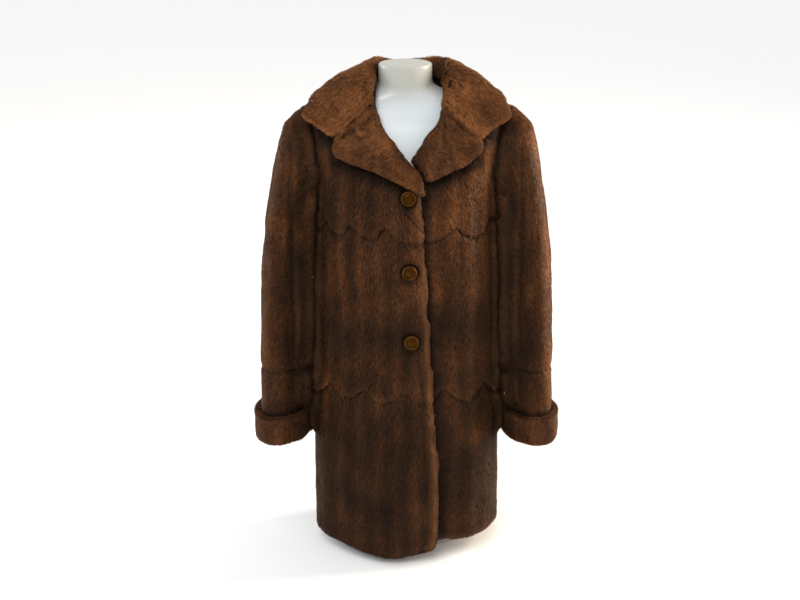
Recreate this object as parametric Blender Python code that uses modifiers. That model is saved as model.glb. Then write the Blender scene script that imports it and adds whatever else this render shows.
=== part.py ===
"""A thigh-length mink coat, buttoned on a limbless dress form that stands on a low base plate.

Metres, +Z up, the coat's front towards -Y. The origin is on the stand's underside, under its pole.
"Right" and "left" are the wearer's: the right half of the coat is on -X and laps over the left.
Every coat piece is a wall between an outer face at the fur tips and an inner face at the leather.
"""

import math

import bmesh
import bpy
import numpy as np
from mathutils import Matrix, Vector

# ---------------------------------------------------------------- driving dimensions
FUR = 0.012  # pelt, from leather to fur tips
SEAM = 0.0003  # gap between pieces that are sewn together
ARMHOLE_GAP = 0.0006  # the same round the armhole, whose faces twist
SCALLOP_SEAM = 0.0008  # the same, measured upright at a scalloped seam
EDGE_ROUND = 0.012  # how far in from a free edge the fur rounds over
THIN = 0.14  # share of the fur's depth that is left at a free edge
SEAM_RISE = 0.0012  # the fur above a scalloped seam stands out over the fur below it
COAT_SHIFT = 0.003  # how far to its left the coat hangs on the form
PARTING = 0.045  # width over which the fronts part before they lap
LOWER_ROWS = 8
MIDDLE_ROWS = 9
FUR_ROUGHNESS = 0.85
FUR_COLOUR = {
    "upper": (0.230, 0.105, 0.050),
    "middle": (0.175, 0.080, 0.040),
    "lower": (0.135, 0.066, 0.038),
    "edge": (0.300, 0.140, 0.062),
}
BUTTON_COLOUR = (0.145, 0.078, 0.020)
FORM_COLOUR = (0.86, 0.88, 0.90)
STEEL_COLOUR = (0.60, 0.61, 0.63)
SMOOTH_ROUGHNESS = 0.35  # of the buttons, the form and the stand
STEEL_METALLIC = 0.9

NECKLINE = 0.960  # height of the neck seam
SHOULDER_TIP = 0.9145  # top of the armhole
UNDERARM = 0.718  # bottom of the armhole
ARMHOLE_FRONT = 0.060  # the armhole's reach in front of the side seam
ARMHOLE_BACK = 0.066
TOP_CUSP = 0.711  # cusps of the scalloped seam under the yoke
MIDDLE_CUSP = 0.379  # cusps of the seam over the skirt
SCALLOP_DEPTH = 0.029

OVERLAP_LIFT = 0.0152  # how far the right front stands out where it laps over
UNDER_EDGE = 0.035  # the left front's hidden edge, past the middle
LAPEL_FUR = 0.013  # a lapel's pelt
LAPEL_GAP = 0.0012  # between a lapel or the collar and the panel under it

BUTTON_RADIUS = 0.0145
BUTTON_DEPTH = 0.0085
BUTTON_SEAT = 0.0008  # gap under a button
BUTTON_STEPS = 22

POLE_RADIUS = 0.0125
BASE_SIZE = (0.280, 0.170, 0.008)  # the oval base plate: width, depth, thickness
BASE_SHIFT_Y = 0.012  # it is set back from the pole
TORSO_FOOT = 0.150  # underside of the form's torso
NECK_TOP = 0.9975

# The coat's outer face, a row for each level.
# height, half width, depth in front, depth behind, squareness of the section
TORSO = np.array(
    [
        (0.000, 0.1915, 0.153, 0.140, 2.30),
        (0.200, 0.1900, 0.151, 0.138, 2.30),
        (0.350, 0.1860, 0.147, 0.134, 2.30),
        (0.460, 0.1800, 0.143, 0.125, 2.30),
        (0.560, 0.1760, 0.146, 0.121, 2.30),
        (0.650, 0.1730, 0.151, 0.122, 2.30),
        (0.700, 0.1720, 0.151, 0.125, 2.30),
        (0.760, 0.1745, 0.142, 0.128, 2.35),
        (0.820, 0.1860, 0.124, 0.124, 2.40),
        (0.865, 0.1960, 0.103, 0.113, 2.40),
        (0.890, 0.2000, 0.088, 0.103, 2.30),
        (0.904, 0.2005, 0.081, 0.096, 2.25),
        (0.913, 0.1975, 0.077, 0.091, 2.20),
        (0.920, 0.1900, 0.074, 0.087, 2.15),
        (0.934, 0.1600, 0.070, 0.078, 2.10),
        (0.948, 0.1180, 0.068, 0.072, 2.05),
        (0.960, 0.0860, 0.067, 0.068, 2.00),
        (0.970, 0.0700, 0.066, 0.066, 2.00),
    ]
)
DRAPE_WAVES = 7
DRAPE_DEPTH = 0.0035  # the skirt's soft waves, at the hem
DRAPE_TOP = 0.62  # they fade out below this height

# Front edges, height against distance past the middle towards the other side.
RIGHT_EDGE = np.array(
    [(0.02, 0.068), (0.14, 0.0705), (0.356, 0.057), (0.563, 0.044), (0.683, 0.0375), (0.787, 0.022),
     (0.8255, -0.009), (0.880, -0.054), (0.925, -0.073), (0.960, -0.078)]
)
LEFT_EDGE = np.array(
    [(0.02, UNDER_EDGE), (0.700, UNDER_EDGE), (0.780, 0.010), (0.8255, -0.019), (0.880, -0.066),
     (0.925, -0.080), (0.960, -0.081)]
)

# Hems, share of the panel's width from its front edge (the back's from side to side) against height.
RIGHT_HEM = np.array(
    [(0.0, 0.052), (0.03, 0.034), (0.09, 0.022), (0.20, 0.014), (0.33, 0.012), (0.50, 0.020), (0.66, 0.027),
     (0.85, 0.029), (1.0, 0.037)]
)
LEFT_HEM = np.array(
    [(0.0, 0.056), (0.05, 0.048), (0.33, 0.047), (0.55, 0.041), (0.78, 0.039), (1.0, 0.037)]
)
BACK_HEM = np.array(
    [(0.0, 0.037), (0.15, 0.030), (0.30, 0.034), (0.50, 0.027), (0.70, 0.034), (0.85, 0.030), (1.0, 0.037)]
)

# Cusps of the scalloped seams, in columns from the side seam (the back's from the right side seam).
FRONT_COLUMNS = 16
BACK_COLUMNS = 24
CUSPS = {
    "front_right": {"top": (0, 4, 8, 12, 17), "middle": (0, 5, 9, 13, 17)},
    "front_left": {"top": (0, 3, 9, 14, 18), "middle": (0, 5, 10, 14, 18)},
    "back": {"top": (0, 4, 8, 12, 16, 20, 24), "middle": (0, 4, 8, 12, 16, 20, 24)},
}
EDGE_STEPS = (0.50, 0.18, 0.0)  # places across a rounded edge, counted from the edge

AROUND = 20  # points round a sleeve
ARMHOLE_STEPS = AROUND // 2  # of them on the front, and as many on the back
SHOULDER_LEVELS = (0.922, 0.933, 0.947, NECKLINE)  # rows along the shoulder seam
FIRST_ROW_RISE = 0.014  # from the yoke's cusps to the row that meets the underarm

# Sleeve rings from the armhole to the wrist, seen from the front: the ring's outer point, its inner
# point, the place of its middle from front to back, half its depth, and how far forward its outer side
# leans. Measured on the right; the left is its mirror image.
# outer x, outer height, inner x, inner height, middle y, half depth, lean
SLEEVE = np.array(
    [
        (0.2080, 0.9175, 0.1750, 0.7130, 0.003, 0.0640, 0.00),
        (0.2200, 0.9120, 0.1768, 0.7060, 0.003, 0.0670, 0.00),
        (0.2335, 0.8960, 0.1780, 0.6990, 0.002, 0.0690, 0.02),
        (0.2470, 0.8650, 0.1788, 0.6915, 0.000, 0.0700, 0.04),
        (0.2580, 0.8180, 0.1794, 0.6825, -0.002, 0.0700, 0.07),
        (0.2690, 0.7580, 0.1800, 0.6700, -0.004, 0.0700, 0.10),
        (0.2800, 0.6900, 0.1806, 0.6480, -0.006, 0.0690, 0.13),
        (0.2885, 0.6100, 0.1818, 0.6050, -0.009, 0.0680, 0.16),
        (0.2930, 0.5200, 0.1842, 0.5200, -0.013, 0.0670, 0.19),
        (0.2955, 0.4300, 0.1872, 0.4300, -0.019, 0.0660, 0.22),
        (0.2965, 0.3400, 0.1905, 0.3400, -0.027, 0.0650, 0.25),
        (0.2960, 0.3000, 0.2060, 0.3000, -0.031, 0.0620, 0.27),
        (0.2960, 0.2420, 0.2065, 0.2420, -0.036, 0.0620, 0.28),
    ]
)
CAP_EASE = {"right": -0.005, "left": 0.005}  # one shoulder is set wider than the other
SLEEVE_SEAM = 9.40  # the row of the seam across the forearm
SLEEVE_SEAM_ROWS = 0.0035  # the gap there, in rows
SLEEVE_END = 11.86  # the row where the sleeve stops inside the cuff
CUFF_TOP, CUFF_BOTTOM = 10.92, 12.0  # rows of the turned-up cuff's top edge and of its fold
CUFF_SLANT = 0.16  # its top edge dips by this many rows in front
CUFF_FUR = 0.0125  # the cuff's pelt
CUFF_GAP = 0.0015  # between the cuff and the sleeve inside it
SLEEVE_LOWER_ROWS = (SLEEVE_SEAM, 10.0, 10.5, 10.9, 11.2, 11.5, SLEEVE_END)

# Long folds down the sleeve: angle round it (0 the back, 90 outside, 180 the front), half width, depth.
SLEEVE_FOLDS = ((198.0, 22.0, 0.0150), (18.0, 24.0, 0.0080))

# The collar on the right half, from the middle of the back to the gorge. The left half mirrors it,
# with the stand further from the neck. Each row gives the neck seam, the roll and the fall's edge,
# and how far the fall bows up between the two.
# seam x, y, height; roll x, y, height; edge x, y, height; bow
COLLAR = np.array(
    [
        (0.0000, 0.0620, 0.962, 0.0000, 0.0660, 1.0010, 0.0000, 0.1200, 0.907, 0.018),
        (0.0520, 0.0470, 0.962, 0.0440, 0.0520, 1.0010, 0.0880, 0.1080, 0.908, 0.018),
        (0.0720, 0.0120, 0.962, 0.0640, 0.0200, 1.0000, 0.1450, 0.0740, 0.922, 0.016),
        (0.0730, -0.0160, 0.962, 0.0650, -0.0120, 0.9950, 0.1730, 0.0150, 0.9400, 0.012),
        (0.0700, -0.0470, 0.9585, 0.0650, -0.0470, 0.9680, 0.1850, -0.0300, 0.9340, 0.013),
        (0.0700, -0.0690, 0.930, 0.0655, -0.0790, 0.9330, 0.1915, -0.0610, 0.9110, 0.005),
    ]
)
COLLAR_EASE_LEFT = 0.018  # how much further out the left half's roll stands
COLLAR_STEPS = 10  # stations on each half
COLLAR_FUR = 0.0125  # thickness of the fall
STAND_FUR = 0.008  # thickness of the stand, round the neck
STAND_POINTS, FALL_POINTS = 6, 7  # in a section of the collar
NOTCH_PLACE = 0.58  # the notch's share of the way from the roll to the edge
GORGE = np.array([(0.0650, 0.9265), (0.1330, 0.8665)])  # from the roll to the notch: x, height
COLLAR_CLEAR = 0.0040  # the fall's least height over the panels

# Lapels, seen from the front: the roll line from the break to the gorge, and the outer edge from the
# break by the tip to the notch. Shares of the way, x, height. The left one starts behind the right.
LAPELS = {
    "right": {
        "roll": np.array([(0.0, -0.0325, 0.772), (0.20, -0.0265, 0.802), (0.42, 0.002, 0.833),
                          (0.75, 0.046, 0.888), (1.0, 0.0645, 0.9258)]),
        "edge": np.array([(0.0, -0.0300, 0.7690), (0.20, 0.002, 0.7840), (0.42, 0.035, 0.8010),
                          (0.66, 0.080, 0.8205), (0.84, 0.126, 0.833), (0.93, 0.1375, 0.848),
                          (1.0, 0.1325, 0.8658)]),
    },
    "left": {
        "roll": np.array([(0.0, 0.0060, 0.8320), (0.42, 0.0290, 0.862), (0.75, 0.0560, 0.893),
                          (1.0, 0.0685, 0.9223)]),
        "edge": np.array([(0.0, 0.0350, 0.7925), (0.42, 0.0800, 0.811), (0.80, 0.1290, 0.835),
                          (0.92, 0.1375, 0.850), (1.0, 0.1325, 0.8658)]),
    },
}
LAPEL_SPRING = 0.006  # how far a lapel's outer edge stands off
LAPEL_ROWS = 14
LAPEL_COLUMNS = (0.0, 0.05, 0.14, 0.32, 0.55, 0.78, 0.92, 0.975, 1.0)

BUTTONS = {"button_top": (0.003, 0.7645), "button_middle": (0.005, 0.625), "button_bottom": (0.009, 0.481)}

# The dress form: how far its surface stays inside the coat's leather, by height.
FORM_GAP = np.array([(0.150, 0.030), (0.30, 0.024), (0.45, 0.020), (0.62, 0.016), (0.75, 0.010),
                     (0.84, 0.005), (0.895, 0.0025), (0.915, 0.0018), (0.960, 0.0018)])
FORM_LEVELS = (*np.linspace(TORSO_FOOT, 0.88, 14), 0.897, 0.908, 0.917, 0.926, 0.935, 0.944)
FORM_AROUND = 26
NECK_RADIUS = 0.0525
NECK_ROUND = 0.004
NECK_FOOT = (0.951, 0.968)  # where the neck leaves the shoulders, and where it is straight
NECK_FLARE = 0.001


def smooth(rows, values, at):
    """The value at each place of a curve through the rows that doesn't overshoot them."""
    rows, values, at = (np.asarray(a, float) for a in (rows, values, at))
    step = np.diff(rows)
    slope = np.diff(values) / step
    before, after = slope[:-1], slope[1:]
    same_way = before * after > 0
    mean = 2 * before * after / np.where(same_way, before + after, 1.0)
    tangent = np.concatenate([slope[:1], np.where(same_way, mean, 0.0), slope[-1:]])
    at = np.clip(at, rows[0], rows[-1])
    i = np.clip(np.searchsorted(rows, at, side="right") - 1, 0, len(rows) - 2)
    t = (at - rows[i]) / step[i]
    return (
        (1 + 2 * t) * (1 - t) ** 2 * values[i]
        + t * (1 - t) ** 2 * step[i] * tangent[i]
        + t * t * (3 - 2 * t) * values[i + 1]
        - t * t * (1 - t) * step[i] * tangent[i + 1]
    )


def ease(t):
    """0 to 1 with no corner at either end."""
    t = np.clip(t, 0.0, 1.0)
    return t * t * (3 - 2 * t)


def unit(v):
    return v / np.maximum(np.linalg.norm(v, axis=-1, keepdims=True), 1e-12)


# ---------------------------------------------------------------- the coat's surface
def section(height):
    """Half width, depth in front, depth behind and squareness of the coat at each height."""
    return [smooth(TORSO[:, 0], TORSO[:, k], height) for k in range(1, 5)]


def torso(angle, height):
    """Points of the coat's outer face and the unit normals there. Angle 0 is the left side, 90 the back,
    180 the right side and 270 the front, in degrees."""
    angle, height = np.broadcast_arrays(np.asarray(angle, float), np.asarray(height, float))
    width, front, back, square = section(height)
    c, s = np.cos(np.radians(angle)), np.sin(np.radians(angle))
    depth = np.where(s < 0, front, back)
    u = np.abs(c) ** (2 / square)
    v = np.abs(s) ** (2 / square)
    point = np.stack([width * np.sign(c) * u, depth * np.sign(s) * v, height], -1)
    step = 0.002
    above, below = section(height + step), section(height - step)
    width_slope = (above[0] - below[0]) / (2 * step)
    depth_slope = np.where(s < 0, above[1] - below[1], above[2] - below[2]) / (2 * step)
    upward = -(u**square * width_slope / width + v**square * depth_slope / depth)
    along_x = np.sign(c) * u ** (square - 1) / width
    along_y = np.sign(s) * v ** (square - 1) / depth
    normal = unit(np.stack([along_x, along_y, upward], -1))
    fade = ease((DRAPE_TOP - height) / DRAPE_TOP)
    wave = DRAPE_DEPTH * fade * np.cos(np.radians(DRAPE_WAVES * angle + 25)) * v
    return point + normal * wave[..., None], normal


def front_angle(x, height):
    """The angle of the place x on the coat's front."""
    width, _, _, square = section(height)
    share = np.clip(np.abs(x) / width, 0, 1)
    return 360 - np.degrees(np.arccos(np.sign(x) * share ** (square / 2)))


def right_edge(height):
    return smooth(RIGHT_EDGE[:, 0], RIGHT_EDGE[:, 1], height)


def left_edge(height):
    return -smooth(LEFT_EDGE[:, 0], LEFT_EDGE[:, 1], height)


def face(half, angle, height, depth=0.0):
    """Points of a panel, so far below its fur tips. The fronts part where they lap over each other."""
    point, normal = torso(angle, height)
    x = point[..., 0]
    lift = np.zeros_like(x)
    in_front = point[..., 1] < 0
    if half == "front_right":
        lift = OVERLAP_LIFT / 2 * ease((x + UNDER_EDGE + PARTING) / PARTING)
    if half == "front_left":
        lift = -OVERLAP_LIFT / 2 * ease((right_edge(height) + PARTING - x) / PARTING)
    return point + normal * (np.where(in_front, lift, 0.0) - depth)[..., None]


def place(points):
    """The coat hangs a little to the left of the form's middle."""
    return points + np.array([COAT_SHIFT, 0.0, 0.0])


# ---------------------------------------------------------------- solids
def material(name, colour, roughness, metallic=0.0):
    made = bpy.data.materials.new(name)
    made.use_nodes = True
    shader = made.node_tree.nodes["Principled BSDF"]
    shader.inputs["Base Color"].default_value = (*colour, 1.0)
    shader.inputs["Roughness"].default_value = roughness
    shader.inputs["Metallic"].default_value = metallic
    made.diffuse_color = (*colour, 1.0)
    return made


def add_mesh(name, mesh_bm, colour, roughness, metallic=0.0):
    """An object of its own from a bmesh, with its faces pointing out. Neighbours that share a twisted
    border are split along the same diagonals, so that they keep their gap."""
    bmesh.ops.triangulate(mesh_bm, faces=mesh_bm.faces, quad_method="SHORT_EDGE")
    bmesh.ops.recalc_face_normals(mesh_bm, faces=mesh_bm.faces)
    mesh = bpy.data.meshes.new(name)
    mesh_bm.to_mesh(mesh)
    mesh_bm.free()
    mesh.shade_smooth()
    mesh.set_sharp_from_angle(angle=math.radians(50))
    made = bpy.data.objects.new(name, mesh)
    PARTS.objects.link(made)
    mesh.materials.append(material(name, colour, roughness, metallic))
    return made


def loft(grid, closed_rows=False, closed_columns=False):
    """A bmesh with a face between each four neighbours of a grid of points."""
    mesh_bm = bmesh.new()
    verts = [[mesh_bm.verts.new(p) for p in row] for row in grid]
    rows, columns = len(verts), len(verts[0])
    for i in range(rows if closed_rows else rows - 1):
        for j in range(columns if closed_columns else columns - 1):
            low, high = verts[i], verts[(i + 1) % rows]
            k = (j + 1) % columns
            mesh_bm.faces.new((low[j], low[k], high[k], high[j]))
    return mesh_bm, verts


def wall(outer, inner):
    """A closed wall between two grids of points: a loft round each row's section, and its two ends."""
    sections = np.concatenate([outer, inner[:, ::-1]], axis=1)
    mesh_bm, verts = loft(sections, closed_columns=True)
    half = outer.shape[1]
    for row in (verts[0], verts[-1]):
        for j in range(half - 1):
            mesh_bm.faces.new((row[j], row[j + 1], row[-j - 2], row[-j - 1]))
    return mesh_bm


def tube(outer, inner):
    """A closed wall between two sets of rings."""
    sections = np.concatenate([outer, inner[::-1]], axis=0)
    mesh_bm, _ = loft(sections, closed_rows=True, closed_columns=True)
    return mesh_bm


def rounded(share):
    """How much of the fur's depth stands at a place across a rounded edge."""
    return THIN + (1 - THIN) * np.sqrt(1 - (1 - np.asarray(share)) ** 2)


# ---------------------------------------------------------------- fronts and back
def column_places(half):
    """A panel's columns, counted from the side seam, with closer ones at a free edge."""
    if half == "back":
        return np.arange(BACK_COLUMNS + 1.0)
    last = FRONT_COLUMNS - 1.0
    return np.concatenate([np.arange(last + 1), last + 1 - np.array(EDGE_STEPS)])


def column_angles(half, height, start, end):
    """Angles at each column, even along the coat's section at this height."""
    places = column_places(half)
    sample = np.linspace(start, end, 97)
    point, _ = torso(sample, height)
    length = np.concatenate([[0], np.cumsum(np.linalg.norm(np.diff(point, axis=0), axis=1))])
    return np.interp(places / places[-1] * length[-1], length, sample)


def scallops(half, seam):
    """Height of a scalloped seam at each of a panel's columns."""
    cusps = np.array(CUSPS[half][seam], float)
    places = column_places(half)
    i = np.clip(np.searchsorted(cusps, places, side="right") - 1, 0, len(cusps) - 2)
    width = cusps[i + 1] - cusps[i]
    t = (places - cusps[i]) / width
    bow = np.clip(4 * t * (1 - t), 0, 1) ** 0.75
    top = {"top": TOP_CUSP, "middle": MIDDLE_CUSP}[seam]
    return top - SCALLOP_DEPTH * bow * np.minimum(width / 4, 1.15)


def hem(half):
    """Height of the hem at each of a panel's columns."""
    places = column_places(half)
    share = places / places[-1]
    if half == "back":
        return smooth(BACK_HEM[:, 0], BACK_HEM[:, 1], share)
    table = RIGHT_HEM if half == "front_right" else LEFT_HEM
    return smooth(table[:, 0], table[:, 1], 1 - share)


def side_angles(half, height):
    """Where a panel starts and ends at this height, below the armhole."""
    if half == "front_right":
        return 180.0, float(front_angle(right_edge(height), height))
    if half == "front_left":
        return 360.0, float(front_angle(left_edge(height), height))
    return 180.0, 0.0


def armhole(side, part, step):
    """Angle and height of a point of the armhole, counted from the underarm up to the shoulder tip."""
    turn = math.pi * step / ARMHOLE_STEPS
    height = UNDERARM + (SHOULDER_TIP - UNDERARM) * (1 - math.cos(turn)) / 2
    reach = (ARMHOLE_FRONT if part == "front" else ARMHOLE_BACK) * abs(math.sin(turn)) ** 0.85
    _, front, back, square = section(height)
    depth = front if part == "front" else back
    swing = math.degrees(math.asin((reach / depth) ** (square / 2)))
    if step in (0, ARMHOLE_STEPS):
        swing = 0.0
    base = 180.0 if side == "right" else (360.0 if part == "front" else 0.0)
    forward = 1 if (side == "right") == (part == "front") else -1
    return base + forward * swing, height


def seam_gap(points, half):
    """Opens the side and shoulder seams, which lie where y is 0, by half the gap."""
    at_seam = np.abs(points[..., 1]) < 1e-6
    step = SEAM / 2 if half == "back" else -SEAM / 2
    points[..., 1] = np.where(at_seam, step, points[..., 1])
    return points


def panel(half, rows):
    """A panel's wall. Each row gives its columns' angles and heights, and its rise and share of fur."""
    outer, inner = [], []
    across = np.ones(len(column_places(half)))
    if half != "back":
        across[-len(EDGE_STEPS):] = rounded(EDGE_STEPS)
    for angles, heights, rise, share in rows:
        fur = FUR * across * share
        outer.append(seam_gap(face(half, angles, heights, FUR - fur - rise), half))
        inner.append(seam_gap(face(half, angles, heights, FUR), half))
    return wall(place(np.array(outer)), place(np.array(inner)))


def tier_rows(half, low, high, steps, levels, rises):
    """Rows from one border of a tier to the other. steps: share of the way up, share of fur.
    levels: the heights that place the borders' columns. rises: how far the fur stands out there."""
    rows = []
    for share, fur in steps:
        level = levels[0] + (levels[1] - levels[0]) * share
        rise = rises[0] if share == 0 else rises[1] if share == 1 else 0.0
        angles = column_angles(half, level, *side_angles(half, level))
        rows.append((angles, low + (high - low) * share, rise, fur))
    return rows


def lower_tier(half):
    low, high = hem(half), scallops(half, "middle") - SCALLOP_SEAM / 2
    tall = float(np.mean(high - low))
    edge = [(EDGE_ROUND * s / tall, float(rounded(s))) for s in sorted(EDGE_STEPS)]
    rest = [(s, 1.0) for s in np.linspace(EDGE_ROUND / tall, 1.0, LOWER_ROWS)]
    levels = (float(np.mean(low)), MIDDLE_CUSP)
    return panel(half, tier_rows(half, low, high, edge + rest, levels, (0.0, -SEAM_RISE)))


def middle_tier(half):
    low, high = scallops(half, "middle") + SCALLOP_SEAM / 2, scallops(half, "top") - SCALLOP_SEAM / 2
    steps = [(s, 1.0) for s in np.linspace(0.0, 1.0, MIDDLE_ROWS)]
    return panel(half, tier_rows(half, low, high, steps, (MIDDLE_CUSP, TOP_CUSP), (SEAM_RISE, -SEAM_RISE)))


def upper_tier(half):
    """The yoke: a scalloped border, a row at the underarm, rows to the armhole, rows to the shoulder.
    A front's rows rise towards its edge and the back's towards its middle, as the neckline does."""
    back = half == "back"
    low = scallops(half, "top") + SCALLOP_SEAM / 2
    rows = [(column_angles(half, TOP_CUSP, *side_angles(half, TOP_CUSP)), low, SEAM_RISE, 1.0)]
    share = column_places(half) / column_places(half)[-1]
    towards = 1 - np.abs(2 * share - 1) if back else share
    last = ARMHOLE_STEPS + len(SHOULDER_LEVELS)
    if back:
        armhole_rows = np.linspace(TOP_CUSP + FIRST_ROW_RISE, SHOULDER_TIP, ARMHOLE_STEPS + 1)
        far_heights = np.concatenate([armhole_rows, SHOULDER_LEVELS])
    else:
        far_heights = np.linspace(TOP_CUSP + FIRST_ROW_RISE, NECKLINE, last + 1)
    for i, far in enumerate(far_heights):
        start, end = side_angles(half, far)
        height = SHOULDER_LEVELS[max(i - ARMHOLE_STEPS - 1, 0)]
        if i <= ARMHOLE_STEPS:
            side = "left" if half == "front_left" else "right"
            start, height = armhole(side, "back" if back else "front", i)
            end = 180.0 - start if back else end
        heights = height + (far - height) * ease(towards)
        rows.append((column_angles(half, float(np.mean(heights)), start, end), heights, 0.0, 1.0))
    return panel(half, rows)


def build_panels():
    makers = {"upper": upper_tier, "middle": middle_tier, "lower": lower_tier}
    for half in ("front_right", "front_left", "back"):
        for tier, make in makers.items():
            add_mesh(f"{half}_{tier}", make(half), FUR_COLOUR[tier], FUR_ROUGHNESS)


# ---------------------------------------------------------------- sleeves and cuffs
def armhole_ring(side):
    """The armhole's outer and inner points, from the back round the top to the front and the underarm."""
    outer, inner = [], []
    for k in range(AROUND):
        turn = k * 360 / AROUND
        part = "back" if turn < 90 or turn > 270 else "front"
        from_underarm = abs((turn - 90) % 360 - 180) / 180
        angle, height = armhole(side, part, round(from_underarm * ARMHOLE_STEPS))
        half = "back" if part == "back" else f"front_{side}"
        outer.append(face(half, angle, height))
        inner.append(face(half, angle, height, FUR))
    outer, inner = np.array(outer), np.array(inner)
    along = unit(np.roll(outer, -1, axis=0) - np.roll(outer, 1, axis=0))
    across = unit(np.cross(along, unit(outer - inner)))
    towards = outer.mean(axis=0) - outer
    across *= np.sign(np.sum(across * towards, axis=1, keepdims=True))
    return outer + across * ARMHOLE_GAP, inner + across * ARMHOLE_GAP


def sleeve_ring(side, row, inset):
    """A ring of the sleeve, inset from its fur tips. The row may differ from point to point."""
    turn = np.radians(np.arange(AROUND) * 360 / AROUND)
    row = np.broadcast_to(np.asarray(row, float), turn.shape)
    values = [smooth(np.arange(len(SLEEVE)), SLEEVE[:, k], row) for k in range(SLEEVE.shape[1])]
    outer_x, outer_z, inner_x, inner_z, middle_y, depth, lean = values
    outer_x = outer_x + CAP_EASE[side] * (1 - ease(row / 6))
    outer = np.stack([outer_x, outer_z], -1)
    inner = np.stack([inner_x, inner_z], -1)
    half_width = np.linalg.norm(outer - inner, axis=1) / 2
    reach = (half_width - inset) * np.sin(turn)
    forward = (depth - inset) * np.cos(turn)
    for middle, width, fold in SLEEVE_FOLDS:
        away = (np.degrees(turn) - middle + 180) % 360 - 180
        fade = ease((row - 1) / 5) * (1 - 0.75 * ease((row - 9.6) / 1.2))
        forward = forward * (1 - fold / depth * fade * np.exp(-((away / width * 1.5) ** 2)))
    across = (outer + inner) / 2 + unit(outer - inner) * reach[:, None]
    mirror = -1 if side == "right" else 1
    return np.stack([mirror * across[:, 0], middle_y + forward - lean * reach, across[:, 1]], -1)


def sleeve_part(side, rows, at_armhole):
    """A stretch of the sleeve through these rows. The upper one starts at the armhole."""
    outer = [sleeve_ring(side, row, 0.0) for row in rows]
    inner = [sleeve_ring(side, row, FUR) for row in rows]
    if at_armhole:
        start_outer, start_inner = armhole_ring(side)
        outer.insert(0, start_outer)
        inner.insert(0, start_inner)
    return tube(place(np.array(outer)), place(np.array(inner)))


def cuff(side):
    """The turned-up end: up outside the sleeve, and folded under its end."""
    band = CUFF_BOTTOM - CUFF_TOP
    skin = CUFF_GAP
    profile = (
        (CUFF_TOP + 0.02, -skin),
        (CUFF_TOP - 0.07, -0.35 * CUFF_FUR),
        (CUFF_TOP - 0.07, -0.70 * CUFF_FUR),
        (CUFF_TOP + 0.03, -CUFF_FUR),
        (CUFF_TOP + 0.5 * band, -1.08 * CUFF_FUR),
        (CUFF_BOTTOM - 0.16, -CUFF_FUR),
        (CUFF_BOTTOM - 0.03, -0.65 * CUFF_FUR),
        (CUFF_BOTTOM, 0.0),
        (CUFF_BOTTOM - 0.01, 0.6 * FUR),
        (CUFF_BOTTOM - 0.06, FUR),
        (SLEEVE_END + 0.006, FUR),
        (SLEEVE_END + 0.006, -skin),
    )
    turn = np.radians(np.arange(AROUND) * 360 / AROUND)
    rings = []
    for row, inset in profile:
        above = np.clip((CUFF_BOTTOM - 0.2 - row) / band, 0, 1)
        rings.append(sleeve_ring(side, row + above * CUFF_SLANT * (1 - np.cos(turn)) / 2, inset))
    mesh_bm, _ = loft(place(np.array(rings)), closed_rows=True, closed_columns=True)
    return mesh_bm


def build_sleeves():
    for side in ("right", "left"):
        upper = sleeve_part(side, np.linspace(0.0, SLEEVE_SEAM - SLEEVE_SEAM_ROWS, 12), True)
        add_mesh(f"sleeve_{side}_upper", upper, FUR_COLOUR["upper"], FUR_ROUGHNESS)
        lower = sleeve_part(side, SLEEVE_LOWER_ROWS, False)
        add_mesh(f"sleeve_{side}_lower", lower, FUR_COLOUR["lower"], FUR_ROUGHNESS)
        add_mesh(f"cuff_{side}", cuff(side), FUR_COLOUR["edge"], FUR_ROUGHNESS)


# ---------------------------------------------------------------- collar and lapels
def front_point(half, x, height, out):
    """A point of a front seen at x and this height, moved out from the panel's fur tips."""
    return face(half, front_angle(x, height), height, -out)


def lapel(side):
    """A wall on the front panel, from the roll line to its outer edge, which springs off."""
    mirror = -1 if side == "right" else 1
    roll, edge = LAPELS[side]["roll"], LAPELS[side]["edge"]
    outer, inner = [], []
    for t in np.linspace(0, 1, LAPEL_ROWS):
        near = np.array([smooth(roll[:, 0], roll[:, k], t) for k in (1, 2)])
        far = np.array([smooth(edge[:, 0], edge[:, k], t) for k in (1, 2)])
        outer_row, inner_row = [], []
        for c in LAPEL_COLUMNS:
            x, height = near + (far - near) * c
            round_off = rounded(min(1.0, c / LAPEL_COLUMNS[2])) * rounded(min(1.0, (1 - c) / 0.10))
            if t < 1:
                round_off *= rounded(min(1.0, 0.25 + t * 5))
            low = LAPEL_GAP + LAPEL_SPRING * ease(c) * ease(t * 3)
            outer_row.append(front_point(f"front_{side}", mirror * x, height, low + LAPEL_FUR * round_off))
            inner_row.append(front_point(f"front_{side}", mirror * x, height, low))
        outer.append(outer_row)
        inner.append(inner_row)
    return wall(place(np.array(outer)), place(np.array(inner)))


def height_over_panels(side, point):
    """Roughly how far a point lies outside the panels' fur tips."""
    x, y, z = point
    width, front, back, square = section(z)
    depth = front if y < 0 else back
    radius = (abs(x / width) ** square + abs(y / depth) ** square) ** (1 / square)
    angle = math.degrees(math.atan2(
        math.copysign(abs(y / depth / radius) ** (square / 2), y),
        math.copysign(abs(x / width / radius) ** (square / 2), x),
    ))
    surface = face("back" if y > 0 else f"front_{side}", np.array(angle % 360), np.array(z))
    _, normal = torso(angle, z)
    return float(np.dot(np.array(point) - surface, normal))


def clearing_lift(side, point, direction):
    """How far a point under the collar moves along a direction to clear the panels."""
    mirrored = np.array([-1.0 if side == "right" else 1.0, 1.0, 1.0])
    lift = 0.0
    while height_over_panels(side, (point + direction * lift) * mirrored) < COLLAR_CLEAR and lift < 0.03:
        lift += 0.0005
    return lift


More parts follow.
